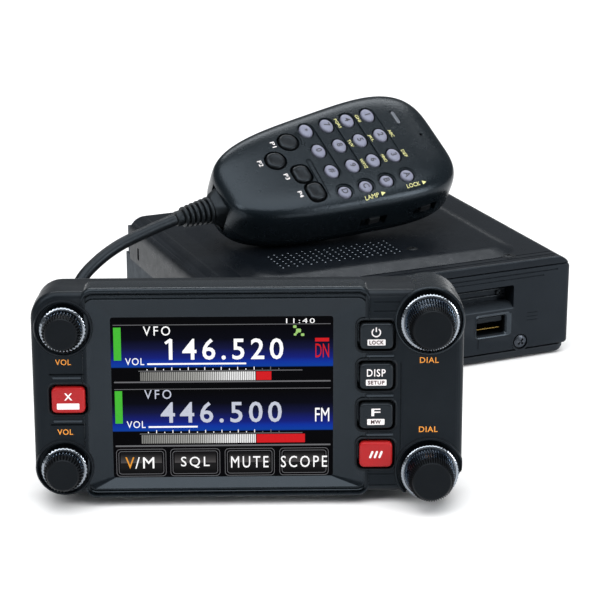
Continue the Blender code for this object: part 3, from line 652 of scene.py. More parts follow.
def make_cord():
    points = smooth_route(LEAD_ROUTE, 8) + curl(CURL_ROUTE) + smooth_route(TAIL_ROUTE, 8)
    curve = bpy.data.curves.new("microphone_cord", "CURVE")
    curve.dimensions = "3D"
    curve.bevel_depth = CORD_DIAMETER / 2 * MM
    curve.bevel_resolution = 4
    curve.use_fill_caps = True
    spline = curve.splines.new("POLY")
    spline.points.add(len(points) - 1)
    for knot, point in zip(spline.points, points):
        knot.co = (*(point * MM), 1.0)
    spline.use_smooth = True
    curve.materials.append(SHEATH)
    obj = bpy.data.objects.new("microphone_cord", curve)
    bpy.context.scene.collection.objects.link(obj)
    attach(obj, "microphone")
    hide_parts("mic_cord_lead", "mic_cord_coil", "mic_cord_tail")
    return obj


PLUG_SIZE = (11.6, 22.0, 6.6)


def make_plug():
    """The cord's modular plug: a clear body with a latch, gold contacts and a boot."""
    end = Vector(TAIL_ROUTE[-1])
    run = (end - Vector(TAIL_ROUTE[-2])).normalized()
    run.z = 0.0
    run.normalize()
    centre = box_centre("mic_plug")
    place = axes(centre, run.cross(UP), run, UP)
    width, length, height = PLUG_SIZE
    body = bmesh.new()
    slab(body, width, length - 6, 0.6, (0, 2.6),
         [(0.4, -height / 2), (0.0, -height / 2 + 0.4), *rounding(height / 2, 0.5)], 3)
    for index in range(8):
        block(body, (0.35, 6.0, 0.8), ((index - 3.5) * 1.02, length / 2 - 4.0, height / 2 - 0.4))
    plug = piece("plug_body", body, place, "microphone", CLEAR, ("mic_plug",))
    contacts = bmesh.new()
    for index in range(7):
        block(contacts, (0.5, 5.2, 0.5), ((index - 3.0) * 1.02, length / 2 - 3.6,
                                          -height / 2 + 0.35))
    gold = piece("plug_contacts", contacts, place, "microphone", GOLD)
    boot = bmesh.new()
    skin(boot, [rect_ring(9.4, 6.0, 1.2, -9.0), rect_ring(8.4, 5.6, 2.2, -4.0),
                rect_ring(6.2, 5.2, 2.4, 0.0)])
    boot.transform(Matrix.Translation((0, 0, 0)) @ Matrix.Rotation(math.pi / 2, 4, "X")
                   @ Matrix.Translation((0, 0, length / 2)))
    sleeve = piece("plug_boot", boot, place, "microphone", RUBBER)
    latch = bmesh.new()
    slab(latch, 6.0, 13.0, 0.6, (0, 1.0), [(0, height / 2 - 0.3), (0, height / 2 + 0.3)], 2)
    tab = piece("plug_latch", latch, place, "microphone", CLEAR)
    return [plug, gold, sleeve, tab]


make_camera()
make_studio()
cord = make_cord()
plug_pieces = make_plug()

# ---------------------------------------------------------------- main unit

COVER_LIP = 36.9
COVER_SKIRT = 22.5
COVER_DEPTH = 115.0
COVER_WALL = 1.7
PANEL_DEPTH = 9.7
BASE_PLATE = 3.4
SIDE_CORNER = 6.6
LOW_CORNER = 7.0
PLATEAU_CENTRE = (-1.0, -10.0)
GRILLE_PITCH = 2.9


def shell_rings(low_inset, levels):
    """Rings of the main unit's outline, seen from its front, at each inset and height."""
    height = 2 * RADIO_HEIGHT
    return [rect_ring(RADIO_WIDTH - 2 * (low_inset + inset), height - 2 * inset,
                      SIDE_CORNER - min(inset, 3.0), z, (0, 0), 8) for inset, z in levels]


def rounded_in_plan(bm, matrix):
    """Keeps what lies inside the main unit's outline as seen from above and from the front."""
    above = bmesh.new()
    slab(above, RADIO_WIDTH, RADIO_DEPTH, 2.0, (0, 0), [(0, -1.0), (0, 60.0)], 10)
    above.transform(matrix)
    front = bmesh.new()
    slab(front, RADIO_WIDTH, RADIO_HEIGHT, LOW_CORNER, (0, RADIO_HEIGHT / 2),
         [(0, -RADIO_DEPTH - 1), (0, 1.0)], 10)
    front.transform(matrix @ PANEL_TURN)
    return carve(carve(bm, above, "INTERSECT"), front, "INTERSECT")


PANEL_TURN = Matrix.Translation((0, -RADIO_DEPTH / 2, 0)) @ Matrix.Rotation(math.pi / 2, 4, "X")
NO_TURN = Matrix.Identity(4)


def make_cover():
    cover = bmesh.new()
    skin(cover, shell_rings(0.0, [(0.9, -COVER_DEPTH), (0.3, -COVER_DEPTH + 0.3),
                                  (0.0, -COVER_DEPTH + 0.9), (0.0, -0.8), (0.25, -0.25),
                                  (0.8, 0.0)]))
    cutter = bmesh.new()
    block(cutter, (170, 80, 250), (0, COVER_SKIRT - 40, -60))
    block(cutter, (170, 20, 20), (0, COVER_LIP - 10, 10 - PANEL_DEPTH - 0.1))
    slab(cutter, RADIO_WIDTH - 2 * COVER_WALL, RADIO_HEIGHT, SIDE_CORNER - COVER_WALL,
         (0, RADIO_HEIGHT / 2 - COVER_WALL), [(0, COVER_WALL - COVER_DEPTH), (0, -PANEL_DEPTH)], 8)
    cover = carve(cover, cutter)
    details = bmesh.new()
    block(details, (0.8, 5.0, 1.9), (-71.0, 27.3, -103.4))
    for z in (-3.2, -6.4):
        block(details, (150, 0.5, 0.55), (0, RADIO_HEIGHT, z))
    cover = rounded_in_plan(carve(cover, details), PANEL_TURN.inverted())
    piece("cover_shell", cover, PANEL, "radio", COVER, ("radio_top_cover",))


def grille_spots():
    """The places of the speaker grille's holes, every second column half a step up."""
    for column in range(18):
        for row in range(6):
            yield (-41.0 + column * GRILLE_PITCH,
                   -40.6 + row * GRILLE_PITCH + (column % 2) * GRILLE_PITCH / 2)


def make_plateau():
    """The raised field on the top cover, with the grille's holes at its front."""
    field = bmesh.new()
    slope = [(0.0, 39.2), (0.0, 40.02), (0.5, 40.15), (1.6, 40.55), (5.4, 41.75), (6.4, 42.02),
             (7.4, 42.14), (9.0, 42.2)]
    width, depth = 112.0, 91.0
    skin(field, [rect_ring(width - 2 * inset * 0.93, depth - 2 * inset, 13.0 - inset * 0.7, z,
                           PLATEAU_CENTRE, 10) for inset, z in slope])
    holes = bmesh.new()
    for x, y in grille_spots():
        spun(holes, [(0.9, 41.2), (0.9, 43.0)], (x, y), 10)
    for x, y in ((14.0, -38.5),):
        spun(holes, [(1.9, 41.5), (2.5, 42.3), (2.5, 43.0)], (x, y), 24)
    field = carve(field, holes)
    piece("cover_plateau", field, RADIO, "radio", COVER)
    # A pale dot in each hole, painted as the glint of the mesh behind the grille.
    dots = bmesh.new()
    for x, y in grille_spots():
        spun(dots, [(0.55, 41.0), (0.55, 41.8), (0.25, 42.1)], (x, y), 8)
    piece("grille_mesh_painted_glint", dots, RADIO, "radio", MESH)


def cross_head(radius, height, centre=(0.0, 0.0)):
    """A domed screw head with a cross recess."""
    head = bmesh.new()
    spun(head, [(radius * 0.9, -1.2), (radius, -0.9), (radius, height * 0.4),
                (radius * 0.86, height * 0.8), (radius * 0.5, height), (0.0, height)],
         centre, 32)
    recess = bmesh.new()
    for turn in (math.radians(45), math.radians(135)):
        block(recess, (radius * 1.15, radius * 0.3, 1.4), (*centre, height), turn)
    return carve(head, recess)


def make_cover_screws():
    screws = bmesh.new()
    washers = bmesh.new()
    spots = ((46.9, -55.6, 40.0), (14.0, -38.5, 42.0), (-58.5, 42.0, 40.0), (58.5, 42.0, 40.0))
    for x, y, z in spots:
        absorb(screws, cross_head(2.0, 0.5), Matrix.Translation((x, y, z)))
        spun(washers, [(3.0, z - 0.6), (3.0, z + 0.12), (2.8, z + 0.2), (2.2, z + 0.1)], (x, y),
             32)
    piece("cover_screws", screws, RADIO, "radio", BLACK)
    # The seat rings are near-black as painted shade of a recess round each screw.
    piece("screw_seats", washers, RADIO, "radio", WELL_BLACK_AND_SHADE)


def panel_profile():
    """The front panel's outline, wide as the unit, from above the base plate to the lip."""
    low, high = BASE_PLATE + 0.3, COVER_LIP - 0.3
    return low, high


def make_front_panel():
    low, high = panel_profile()
    panel = bmesh.new()
    width = RADIO_WIDTH - 0.4
    middle = (low + high) / 2
    skin(panel, [rect_ring(width - 2 * inset, high - low - 2 * inset * 0.4, 1.6, z, (0, middle), 6)
                 for inset, z in [(0, -PANEL_DEPTH + 0.3), (0, -1.4), (0.4, -0.4), (1.3, 0.0)]])
    cutter = bmesh.new()
    slab(cutter, 92.0, 9.5, 0.8, (0, 25.8), [(0, -7.0), (0, 1.0)], 3)
    slab(cutter, 13.4, 9.0, 1.0, (36.5, 15.2), [(0, -12.0), (0, 1.0)], 4)
    slab(cutter, 2.0, 9.0, 0.8, (23.6, 15.0), [(0, -2.2), (0, 1.0)], 3)
    spun(cutter, [(3.1, -1.1), (3.1, 2.0)], (49.5, 7.0), 32)
    block(cutter, (130, 0.45, 0.9), (0, 34.7, 0))
    block(cutter, (118, 0.4, 0.7), (0, 33.0, 0))
    block(cutter, (0.3, 5.0, 0.5), (31.0, 8.8, 0))
    for y in (15.4, 16.9, 18.4):
        block(cutter, (4.6, 0.3, 0.4), (54.3, y, 0))
    panel = rounded_in_plan(carve(panel, cutter), PANEL_TURN.inverted())
    piece("panel_shell", panel, PANEL, "radio", PANEL_PAINT, ("radio_front_panel",))


def make_dock():
    """The recess that holds the head when it is fixed to the main unit, and its ledge."""
    ledge = bmesh.new()
    skin(ledge, [[(-45.9, 21.0, z0), (45.9, 21.0, z0), (45.9, y1, z1), (-45.9, y1, z1)]
                 for z0, y1, z1 in ((-6.9, 22.9, -6.9), (-1.0, 22.9, -2.6), (0.05, 21.4, 0.05))])
    # The ledge is drawn paler as a painted highlight where it faces the light.
    piece("dock_ledge", ledge, PANEL, "radio", MOULDING_AND_HIGHLIGHT)
    ribs = bmesh.new()
    for up in (24.8, 27.4):
        slab(ribs, 91.0, 0.7, 0.3, (0, up), [(0, -7.2), *rounding(-6.1, 0.25, steps=2)], 3)
    slab(ribs, 38.0, 4.6, 0.8, (-18.0, 26.1), [(0, -7.2), *rounding(-4.4, 0.5, steps=3)], 4)
    for x in (-43.0, 43.0):
        absorb(ribs, cross_head(1.3, 0.3), Matrix.Translation((x, 26.0, -6.2)))
    piece("dock_ribs", ribs, PANEL, "radio", BLACK)
    pins = bmesh.new()
    for index in range(8):
        slab(pins, 0.9, 3.0, 0.3, (-24.0 + index * 1.7, 26.1), [(0, -5.0), (0.1, -4.2)], 2)
    piece("dock_contacts", pins, PANEL, "radio", GOLD)


def make_socket():
    surround = bmesh.new()
    skin(surround, [rect_ring(16.0, 9.8, 1.6, -0.4, (37.4, 15.2)),
                    rect_ring(16.0, 9.8, 1.6, 0.05, (37.4, 15.2)),
                    rect_ring(15.2, 9.0, 1.3, 0.55, (37.4, 15.2)),
                    rect_ring(13.2, 8.2, 1.2, 0.4, (36.5, 15.2)),
                    rect_ring(12.3, 7.5, 1.0, -0.3, (36.5, 15.2)),
                    rect_ring(12.3, 7.5, 1.0, -1.2, (36.5, 15.2)),
                    rect_ring(16.0, 9.8, 1.6, -1.2, (37.4, 15.2))], closed=True)
    piece("socket_surround", surround, PANEL, "radio", MOULDING_AND_HIGHLIGHT)
    contacts = bmesh.new()
    for index in range(8):
        block(contacts, (0.55, 0.3, 7.0), (36.5 + (index - 3.5) * 1.25, 13.4, -6.0))
    bar(contacts, 10.0, 0.4, (36.5, 13.3), -3.2, -2.6, 0.0, 0.1)
    piece("socket_contacts", contacts, PANEL, "radio", GOLD)
    tongue = bmesh.new()
    slab(tongue, 11.2, 2.4, 0.6, (36.5, 17.2), [(0, -9.0), *rounding(-1.6, 0.5, steps=3)], 3)
    piece("socket_tongue", tongue, PANEL, "radio", WELL_BLACK_AND_SHADE)


def make_panel_screw():
    screw = cross_head(2.55, 0.7)
    screw.transform(Matrix.Translation((49.5, 7.0, -0.35)))
    piece("panel_screw", screw, PANEL, "radio", STEEL, ("front_panel_screw",))
    lip = bmesh.new()
    sweep = [math.radians(200 + 14 * step) for step in range(11)]
    rings = []
    for angle in sweep:
        out = Vector((math.cos(angle), math.sin(angle), 0.0))
        centre = Vector((49.5, 7.0, 0.0)) + out * 3.45
        rings.append([tuple(centre + out * across + Vector((0, 0, z)))
                      for across, z in ((-0.3, -0.3), (0.3, -0.3), (0.3, 0.25), (-0.3, 0.25))])
    skin(lip, rings)
    piece("screw_lip", lip, PANEL, "radio", COVER)


def make_base():
    plate = bmesh.new()
    slab(plate, RADIO_WIDTH - 1.0, RADIO_DEPTH - 0.6, 5.0, (0, 0),
         [(1.8, 0.0), (1.0, 0.3), (0.3, 1.1), (0.0, 2.2), (0.0, BASE_PLATE)])
    cutter = bmesh.new()
    for x in range(-50, 51, 10):
        slab(cutter, 3.0, 60.0, 1.4, (x, 0), [(0, -1.0), (0, 0.8)], 3)
    plate = rounded_in_plan(carve(plate, cutter), NO_TURN)
    piece("base_plate", plate, RADIO, "radio", CASTING, ("radio_bottom_cover",))


def make_rear_fittings():
    """Finer forms of the fittings on the back, and the screws that close it."""
    x, y, _ = node_spot("antenna_connector", REAR)
    socket = bmesh.new()
    profile = [(9.4, 0.3), (9.4, 2.4), (9.0, 2.8), (7.6, 2.8)]
    for turn in range(9):
        profile += [(7.85, 3.4 + turn * 1.2), (7.35, 4.0 + turn * 1.2)]
    profile += [(7.4, 14.6), (6.9, 15.3), (2.9, 15.3), (2.5, 15.0), (2.5, 9.0), (0.0, 9.0)]
    spun(socket, profile, (x, y), 48)
    piece("antenna_socket", socket, REAR, "radio", CHROME,
          ("antenna_connector",))
    collar = bmesh.new()
    spun(collar, [(4.6, 14.9), (4.6, 15.35), (2.6, 15.35), (2.6, 14.9)], (x, y), 40, closed=True)
    piece("antenna_insulator", collar, REAR, "radio", GREY)
    screws = bmesh.new()
    for side in (-1, 1):
        for up in (8.0, 30.0):
            absorb(screws, cross_head(2.2, 0.6), Matrix.Translation((side * 64.0, up, 0.0)))
    piece("rear_screws", screws, REAR, "radio", STEEL)


def make_side_details():
    for name, place in (("left", LEFT_SIDE), ("right", RIGHT_SIDE)):
        screws = bmesh.new()
        for along in (-38.0, 38.0):
            absorb(screws, cross_head(2.2, 0.5), Matrix.Translation((along, 13.0, -2.0)))
        piece(f"{name}_side_screws", screws, place, "radio", STEEL)


def finish_carried_radio():
    """Materials for the CAD nodes of the main unit that stay as they are."""
    finishes = {"radio_chassis": CASTING, "radio_circuit_board": BOARD, "radio_speaker": BLACK,
                "power_cord_gland": RUBBER, "microphone_socket": WELL_BLACK_AND_SHADE, "fan_rotor": BLACK}
    for node, material in finishes.items():
        mesh = frame["nodes"][node].data
        mesh.materials.clear()
        mesh.materials.append(material)


make_cover()
make_plateau()
make_cover_screws()
make_front_panel()
make_dock()
make_socket()
make_panel_screw()
make_base()
make_rear_fittings()
make_side_details()
finish_carried_radio()

# ---------------------------------------------------------------- control head

HEAD_WIDTH = 138.6
HEAD_MIDDLE = 0.6
HEAD_DEPTH = 20.0
WING_HEIGHT = 68.2
WING_MIDDLE = 0.6
BEZEL_DEPTH = 9.0
WINDOW = (71.5, 54.2)
WINDOW_MIDDLE = (-7.8, -1.6)
FRAME_BOX = (-52.6, 39.6, -34.8, 36.0)
SLOPE_BOX = (-51.6, 38.6, -31.6, 31.9)
KEY_SIZE = (10.7, 8.5)
HEAD_KEYS = ("power_key", "display_key", "function_key", "memory_key", "network_key")
VOLUME_RADIUS = 7.5
DIAL_RADIUS = 9.5
KNOBS = {
    "upper_volume_knob": ("upper_volume_knob_turn", VOLUME_RADIUS),
    "lower_volume_knob": ("lower_volume_knob_turn", VOLUME_RADIUS),
    "upper_dial_knob": ("upper_dial_turn", DIAL_RADIUS),
    "lower_dial_knob": ("lower_dial_turn", DIAL_RADIUS),
}


def knob_spot(name):
    spot = in_frame(JOINTS[KNOBS[name][0]]["pos_m"], FACE)
    return spot.x, spot.y


def key_wells():
    cutter = bmesh.new()
    for key in HEAD_KEYS:
        spot = node_spot(key, FACE)
        slab(cutter, KEY_SIZE[0] + 1.8, KEY_SIZE[1] + 1.8, 2.0, (spot.x, spot.y),
             [(0, -5.0), (0, 1.0)], 5)
    return cutter


def make_wings():
    wings = bmesh.new()
    levels = [(0.0, -BEZEL_DEPTH), *rounding(0.0, 2.2, steps=6)]
    slab(wings, HEAD_WIDTH, WING_HEIGHT, 9.0, (HEAD_MIDDLE, WING_MIDDLE), levels, 10)
    cutter = bmesh.new()
    block(cutter, (89.2, 80, 30), (-6.5, 0.5, 0))
    absorb(cutter, key_wells())
    for name, (_, radius) in KNOBS.items():
        spun(cutter, [(radius + 0.8, -1.2), (radius + 0.8, 3.0)], knob_spot(name), 64)
    block(cutter, (0.35, 34.0, 0.8), (49.6, -6.5, 0))
    for y in (13.0, -0.35, -13.6):
        block(cutter, (9.6, 0.35, 0.6), (42.4, y - 0.55, 0))
    for y in (7.5, -9.4):
        block(cutter, (11.2, 0.6, 1.2), (-57.6, y, 0))
    for y in (-27.2, -31.0):
        block(cutter, (9.0, 0.3, 0.5), (44.0, y, 0))
    for y in (27.8, 30.8):
        block(cutter, (8.5, 0.3, 0.5), (45.0, y, 0))
    wings = carve(wings, cutter)
    piece("bezel_wings", wings, FACE, "control_head", BEZEL, ("head_bezel",))

    ridges = bmesh.new()
    for y in (13.0, -0.35, -13.6):
        bar(ridges, 8.8, 0.8, (42.9, y), -0.5, 0.5)
    for y in (6.4, -8.2):
        bar(ridges, 9.2, 0.8, (-57.6, y), -0.5, 0.4)
    piece("bezel_ridges", ridges, FACE, "control_head", RIDGE_HIGHLIGHT)


def frame_ring(share, z, corner):
    """A ring between the centre frame's outer edge and the display's surround."""
    sides = [outer + (inner - outer) * share for outer, inner in zip(FRAME_BOX, SLOPE_BOX)]
    return box_ring(*sides, corner, z, 8)


def make_centre_frame():
    """The raised frame round the display: a crest, two grooves and the sloped surround."""
    outline = [(0.0, -BEZEL_DEPTH, 3.6), (0.0, -1.2, 3.6), (0.03, -0.5, 3.55), (0.09, 0.05, 3.5),
               (0.17, 0.35, 3.45), (0.28, 0.45, 3.4), (0.36, 0.35, 3.35), (0.41, 0.0, 3.3),
               (0.43, -1.1, 3.3), (0.55, -1.1, 3.2), (0.57, -0.55, 3.2), (0.63, -0.35, 3.15),
               (0.69, -0.55, 3.1), (0.71, -1.2, 3.1), (0.9, -1.2, 3.0), (0.94, -0.7, 3.0),
               (1.0, -0.5, 2.9)]
    rings = [frame_ring(share, z, corner) for share, z, corner in outline]
    left = WINDOW_MIDDLE[0] - WINDOW[0] / 2
    right = WINDOW_MIDDLE[0] + WINDOW[0] / 2
    low = WINDOW_MIDDLE[1] - WINDOW[1] / 2
    high = WINDOW_MIDDLE[1] + WINDOW[1] / 2
    inner = (left, right, low, high)
    slope = [box_ring(*SLOPE_BOX, 2.9, -BEZEL_DEPTH + 0.5, 8), rings[-1]]
    rings.append(box_ring(*SLOPE_BOX, 2.9, -BEZEL_DEPTH, 8))
    surround = carve(skin(bmesh.new(), rings, closed=True), key_wells())
    piece("display_surround", surround, FACE, "control_head", FRAME)
    for share in (0.03, 0.5, 0.97, 1.0):
        sides = [outer + (edge - outer) * share for outer, edge in zip(SLOPE_BOX, inner)]
        slope.append(box_ring(*sides, 2.9 - 2.0 * share, -0.5 - 2.45 * share, 8))
    slope.append(box_ring(*inner, 0.8, -3.3, 8))
    slope.append(box_ring(*inner, 0.8, -BEZEL_DEPTH + 0.5, 8))
    chamfer = carve(skin(bmesh.new(), slope, closed=True), key_wells())
    piece("display_slope", chamfer, FACE, "control_head", SLOPE)


def make_bosses():
    """The raised rings round the knobs. The upper dial's runs back as a barrel."""
    rings = bmesh.new()
    for name in ("upper_volume_knob", "lower_volume_knob"):
        spun(rings, [(9.5, -1.5), (9.45, 0.1), (9.2, 0.55), (8.95, 0.65), (8.7, 0.5),
                     (8.45, 0.0), (8.4, -1.2), (7.8, -1.5)], knob_spot(name), 72, closed=True)
    piece("volume_bosses", rings, FACE, "control_head", BEZEL)
    barrel = bmesh.new()
    spun(barrel, [(10.6, -19.6), (11.2, -19.0), (11.3, -10.0), (11.4, -3.0), (11.4, -0.6),
                  (11.35, 0.2), (11.05, 0.6), (10.7, 0.65), (10.45, 0.35), (10.4, -1.4),
                  (9.0, -1.5)], knob_spot("upper_dial_knob"), 96, closed=True)
    piece("upper_dial_barrel", barrel, FACE, "control_head", FRAME)
    lower = bmesh.new()
    spun(lower, [(11.4, -3.0), (11.4, 0.0), (11.2, 0.45), (10.9, 0.6), (10.6, 0.45),
                 (10.4, 0.0), (10.35, -1.4), (9.0, -3.0)], knob_spot("lower_dial_knob"), 96,
         closed=True)
    keep = bmesh.new()
    slab(keep, HEAD_WIDTH, WING_HEIGHT, 9.0, (HEAD_MIDDLE, WING_MIDDLE), [(0, -6), (0, 4)], 10)
    lower = carve(lower, keep, "INTERSECT")
    piece("lower_dial_boss", lower, FACE, "control_head", BEZEL)


def make_rear_case():
    case = bmesh.new()
    low = -HEAD_DEPTH
    slab(case, HEAD_WIDTH - 0.8, WING_HEIGHT - 0.6, 8.6, (HEAD_MIDDLE, WING_MIDDLE),
         [(1.3, low), (0.6, low + 0.2), (0.15, low + 0.7), (0.0, low + 1.5),
          (0.0, -BEZEL_DEPTH - 0.3)], 8)
    cutter = bmesh.new()
    slab(cutter, 58.0, 46.0, 3.0, (0, -6.0), [(0, low - 2), (0, low + 0.7)])
    for side in (-1, 1):
        for step in range(7):
            slab(cutter, 16.0, 1.6, 0.7, (side * 48.0, 12.0 - step * 3.6),
                 [(0, low - 2), (0, low + 1.6)], 3)
    slab(cutter, 12.5, 9.5, 1.0, (-48.0, -24.0), [(0, low - 2), (0, low + 6.0)])
    case = carve(case, cutter)
    piece("head_case", case, FACE, "control_head", BEZEL, ("head_rear_case",))
    keel = bmesh.new()
    slab(keel, 79.0, 70.4, 2.6, (-6.5, -0.8),
         [(1.3, low + 0.1), (0.6, low + 0.3), (0.1, low + 0.9), (0.0, -BEZEL_DEPTH - 0.1)], 6)
    hollow = bmesh.new()
    slab(hollow, 58.0, 46.0, 3.0, (0, -6.0), [(0, low - 2), (0, low + 0.7)])
    keel = carve(keel, hollow)
    piece("head_keel", keel, FACE, "control_head", BEZEL)
    screws = bmesh.new()
    for x, y in ((-62.0, 28.0), (63.0, 28.0), (-62.0, -27.0), (63.0, -27.0)):
        part = cross_head(2.0, 0.4)
        part.transform(Matrix.Translation((x, y, low + 0.1)) @ Matrix.Rotation(math.pi, 4, "X"))
        absorb(screws, part)
    piece("head_case_screws", screws, FACE, "control_head", STEEL)
    jack = bmesh.new()
    for index in range(6):
        block(jack, (0.6, 0.4, 4.0), (-48.0 + (index - 2.5) * 1.4, -22.0, low + 3.5))
    piece("head_jack_contacts", jack, FACE, "control_head", GOLD)


SCREEN_UP = -3.05
BUTTONS = ((-26.7, 16.2, "V/M"), (-9.15, 16.2, "SQL"), (8.6, 16.2, "MUTE"),
           (26.3, 16.0, "SCOPE"))
BUTTON_MIDDLE = -22.1
BUTTON_HEIGHT = 9.4
LEVELS = ((5.2, 0.0), (0.0, 0.0))


def screen_place():
    return FACE @ Matrix.Translation(Vector((*WINDOW_MIDDLE, SCREEN_UP)) * MM)


def on_screen(name, bm, material):
    piece(name, bm, screen_place(), "control_head", material, level=False)


def plate(bm, left, right, low, high, top=0.06):
    """A thin flat bar on the screen."""
    block(bm, (right - left, high - low, top), ((left + right) / 2, (low + high) / 2, top / 2))


def make_screen():
    base = bmesh.new()
    slab(base, WINDOW[0] - 0.1, WINDOW[1] - 0.1, 0.7, (0, 0), [(0, -1.2), (0, 0.0)])
    piece("screen_panel", base, screen_place(), "control_head", SCREEN,
          ("display_window",), level=False)
    lines = bmesh.new()
    for y, thin in ((24.5, 0.2), (5.35, 0.45), (2.95, 0.2), (-16.35, 0.5)):
        plate(lines, -34.9, 34.9, y - thin / 2, y + thin / 2)
    on_screen("screen_lines", lines, GLOW_GREY)

    white = bmesh.new()
    pale = bmesh.new()
    green = bmesh.new()
    red = bmesh.new()
    meter = bmesh.new()
    grey = bmesh.new()
    for rise, digits, centre, width, ink_mesh, level, limit in (
            (21.3, "146.520", 1.3, 36.8, white, 7.7, 15.8),
            (0.0, "446.500", -0.5, 39.2, pale, -8.2, 26.6)):
        write(ink_mesh, digits, 7.1, (centre, -5.0 + rise), 0.0, width, 0.012, gap=1.3)
        write(ink_mesh, "VFO", 3.1, (-20.9, 1.2 + rise), 0.0, 8.7, 0.0, gap=1.35)
        plate(green, -34.8, -32.4, -8.6 + rise, 2.4 + rise)
        write(white, "VOL", 2.35, (-28.1, -9.0 + rise), 0.0, 6.1, 0.0, gap=1.15)
        plate(white, -24.1, level, -10.15 + rise, -9.6 + rise)
        for tick in range(17):
            x = -24.2 + tick * 2.65
            tall = 1.0 if tick % 2 else 0.45
            plate(white if tick < 14 else grey, x - 0.13, x + 0.13, -12.0 + rise,
                  -12.0 + rise + tall)
        plate(grey, -27.0, 25.8, -12.35 + rise, -12.1 + rise)
        for stripe in range(62):
            x = -26.4 + stripe * 0.6
            plate(meter, x, x + 0.4, -15.5 + rise, -12.6 + rise)
        plate(red, 10.9, limit, -15.5 + rise, -12.6 + rise)
    block(white, (2.3, 0.85, 0.06), (-17.3, 19.0, 0.03), 0.62)
    write(white, "FM", 4.6, (32.2, -6.1), 0.0, 4.6, 0.0)
    write(red, "DN", 4.6, (32.2, 15.6), 0.0, 4.4, 0.0)
    plate(red, 29.9, 34.4, 18.6, 19.8)
    write(white, "11:40", 1.6, (25.2, 25.55), 0.0, 9.2, 0.0, gap=1.25)
    for x, _, text in BUTTONS[1:]:
        write(white, text, 3.9, (x, BUTTON_MIDDLE), 0.1, 2.9 * len(text) + 0.6, 0.0, gap=1.3)
    write(white, "/M", 3.9, (-25.6, BUTTON_MIDDLE), 0.1, 6.2, 0.0, gap=1.2)
    orange = write(bmesh.new(), "V", 3.9, (-30.4, BUTTON_MIDDLE), 0.1, 2.9, 0.0)
    leaf = bmesh.new()
    for x, y, size, turn in ((24.6, 22.3, 1.6, 0.7), (23.4, 23.6, 1.1, 0.7), (25.9, 20.9, 1.1, 0.7),
                             (23.5, 21.0, 0.9, 0.0), (24.0, 21.6, 0.8, 0.8)):
        slab(leaf, size, size * 0.8, size * 0.25, (x, y), [(0, 0), (0, 0.06)], 3)
        del turn
    on_screen("screen_white", white, GLOW_WHITE)
    on_screen("screen_pale", pale, GLOW_PALE)
    on_screen("screen_green", green, GLOW_GREEN)
    on_screen("screen_red", red, GLOW_RED)
    on_screen("screen_meter", meter, METER)
    on_screen("screen_scale", grey, GLOW_GREY)
    on_screen("screen_orange", orange, GLOW_ORANGE)
    on_screen("screen_leaf", leaf, GLOW_LEAF)

    outlines = bmesh.new()
    tops = bmesh.new()
    lows = bmesh.new()
    for x, width, _ in BUTTONS:
        for inset in (0.0, 0.75):
            sides = (width - 2 * inset, BUTTON_HEIGHT - 2 * inset)
            thin = 0.16
            rings = [rect_ring(sides[0], sides[1], 1.3 - inset * 0.4, z, (x, BUTTON_MIDDLE))
                     for z in (0.0, 0.05)]
            rings += [rect_ring(sides[0] - 2 * thin, sides[1] - 2 * thin, 1.15 - inset * 0.4, z,
                                (x, BUTTON_MIDDLE)) for z in (0.05, 0.0)]
            skin(outlines, rings, closed=True)
        plate(tops, x - width / 2 + 1.4, x + width / 2 - 1.4, BUTTON_MIDDLE - 0.1,
              BUTTON_MIDDLE + 3.4, 0.03)
        plate(lows, x - width / 2 + 1.2, x + width / 2 - 1.2, BUTTON_MIDDLE - 3.6,
              BUTTON_MIDDLE - 0.1, 0.03)
    on_screen("screen_button_outlines", outlines, GLOW_GREY)
    on_screen("screen_button_tops", tops, BUTTON_TOP)
    on_screen("screen_button_lows", lows, BUTTON_LOW)


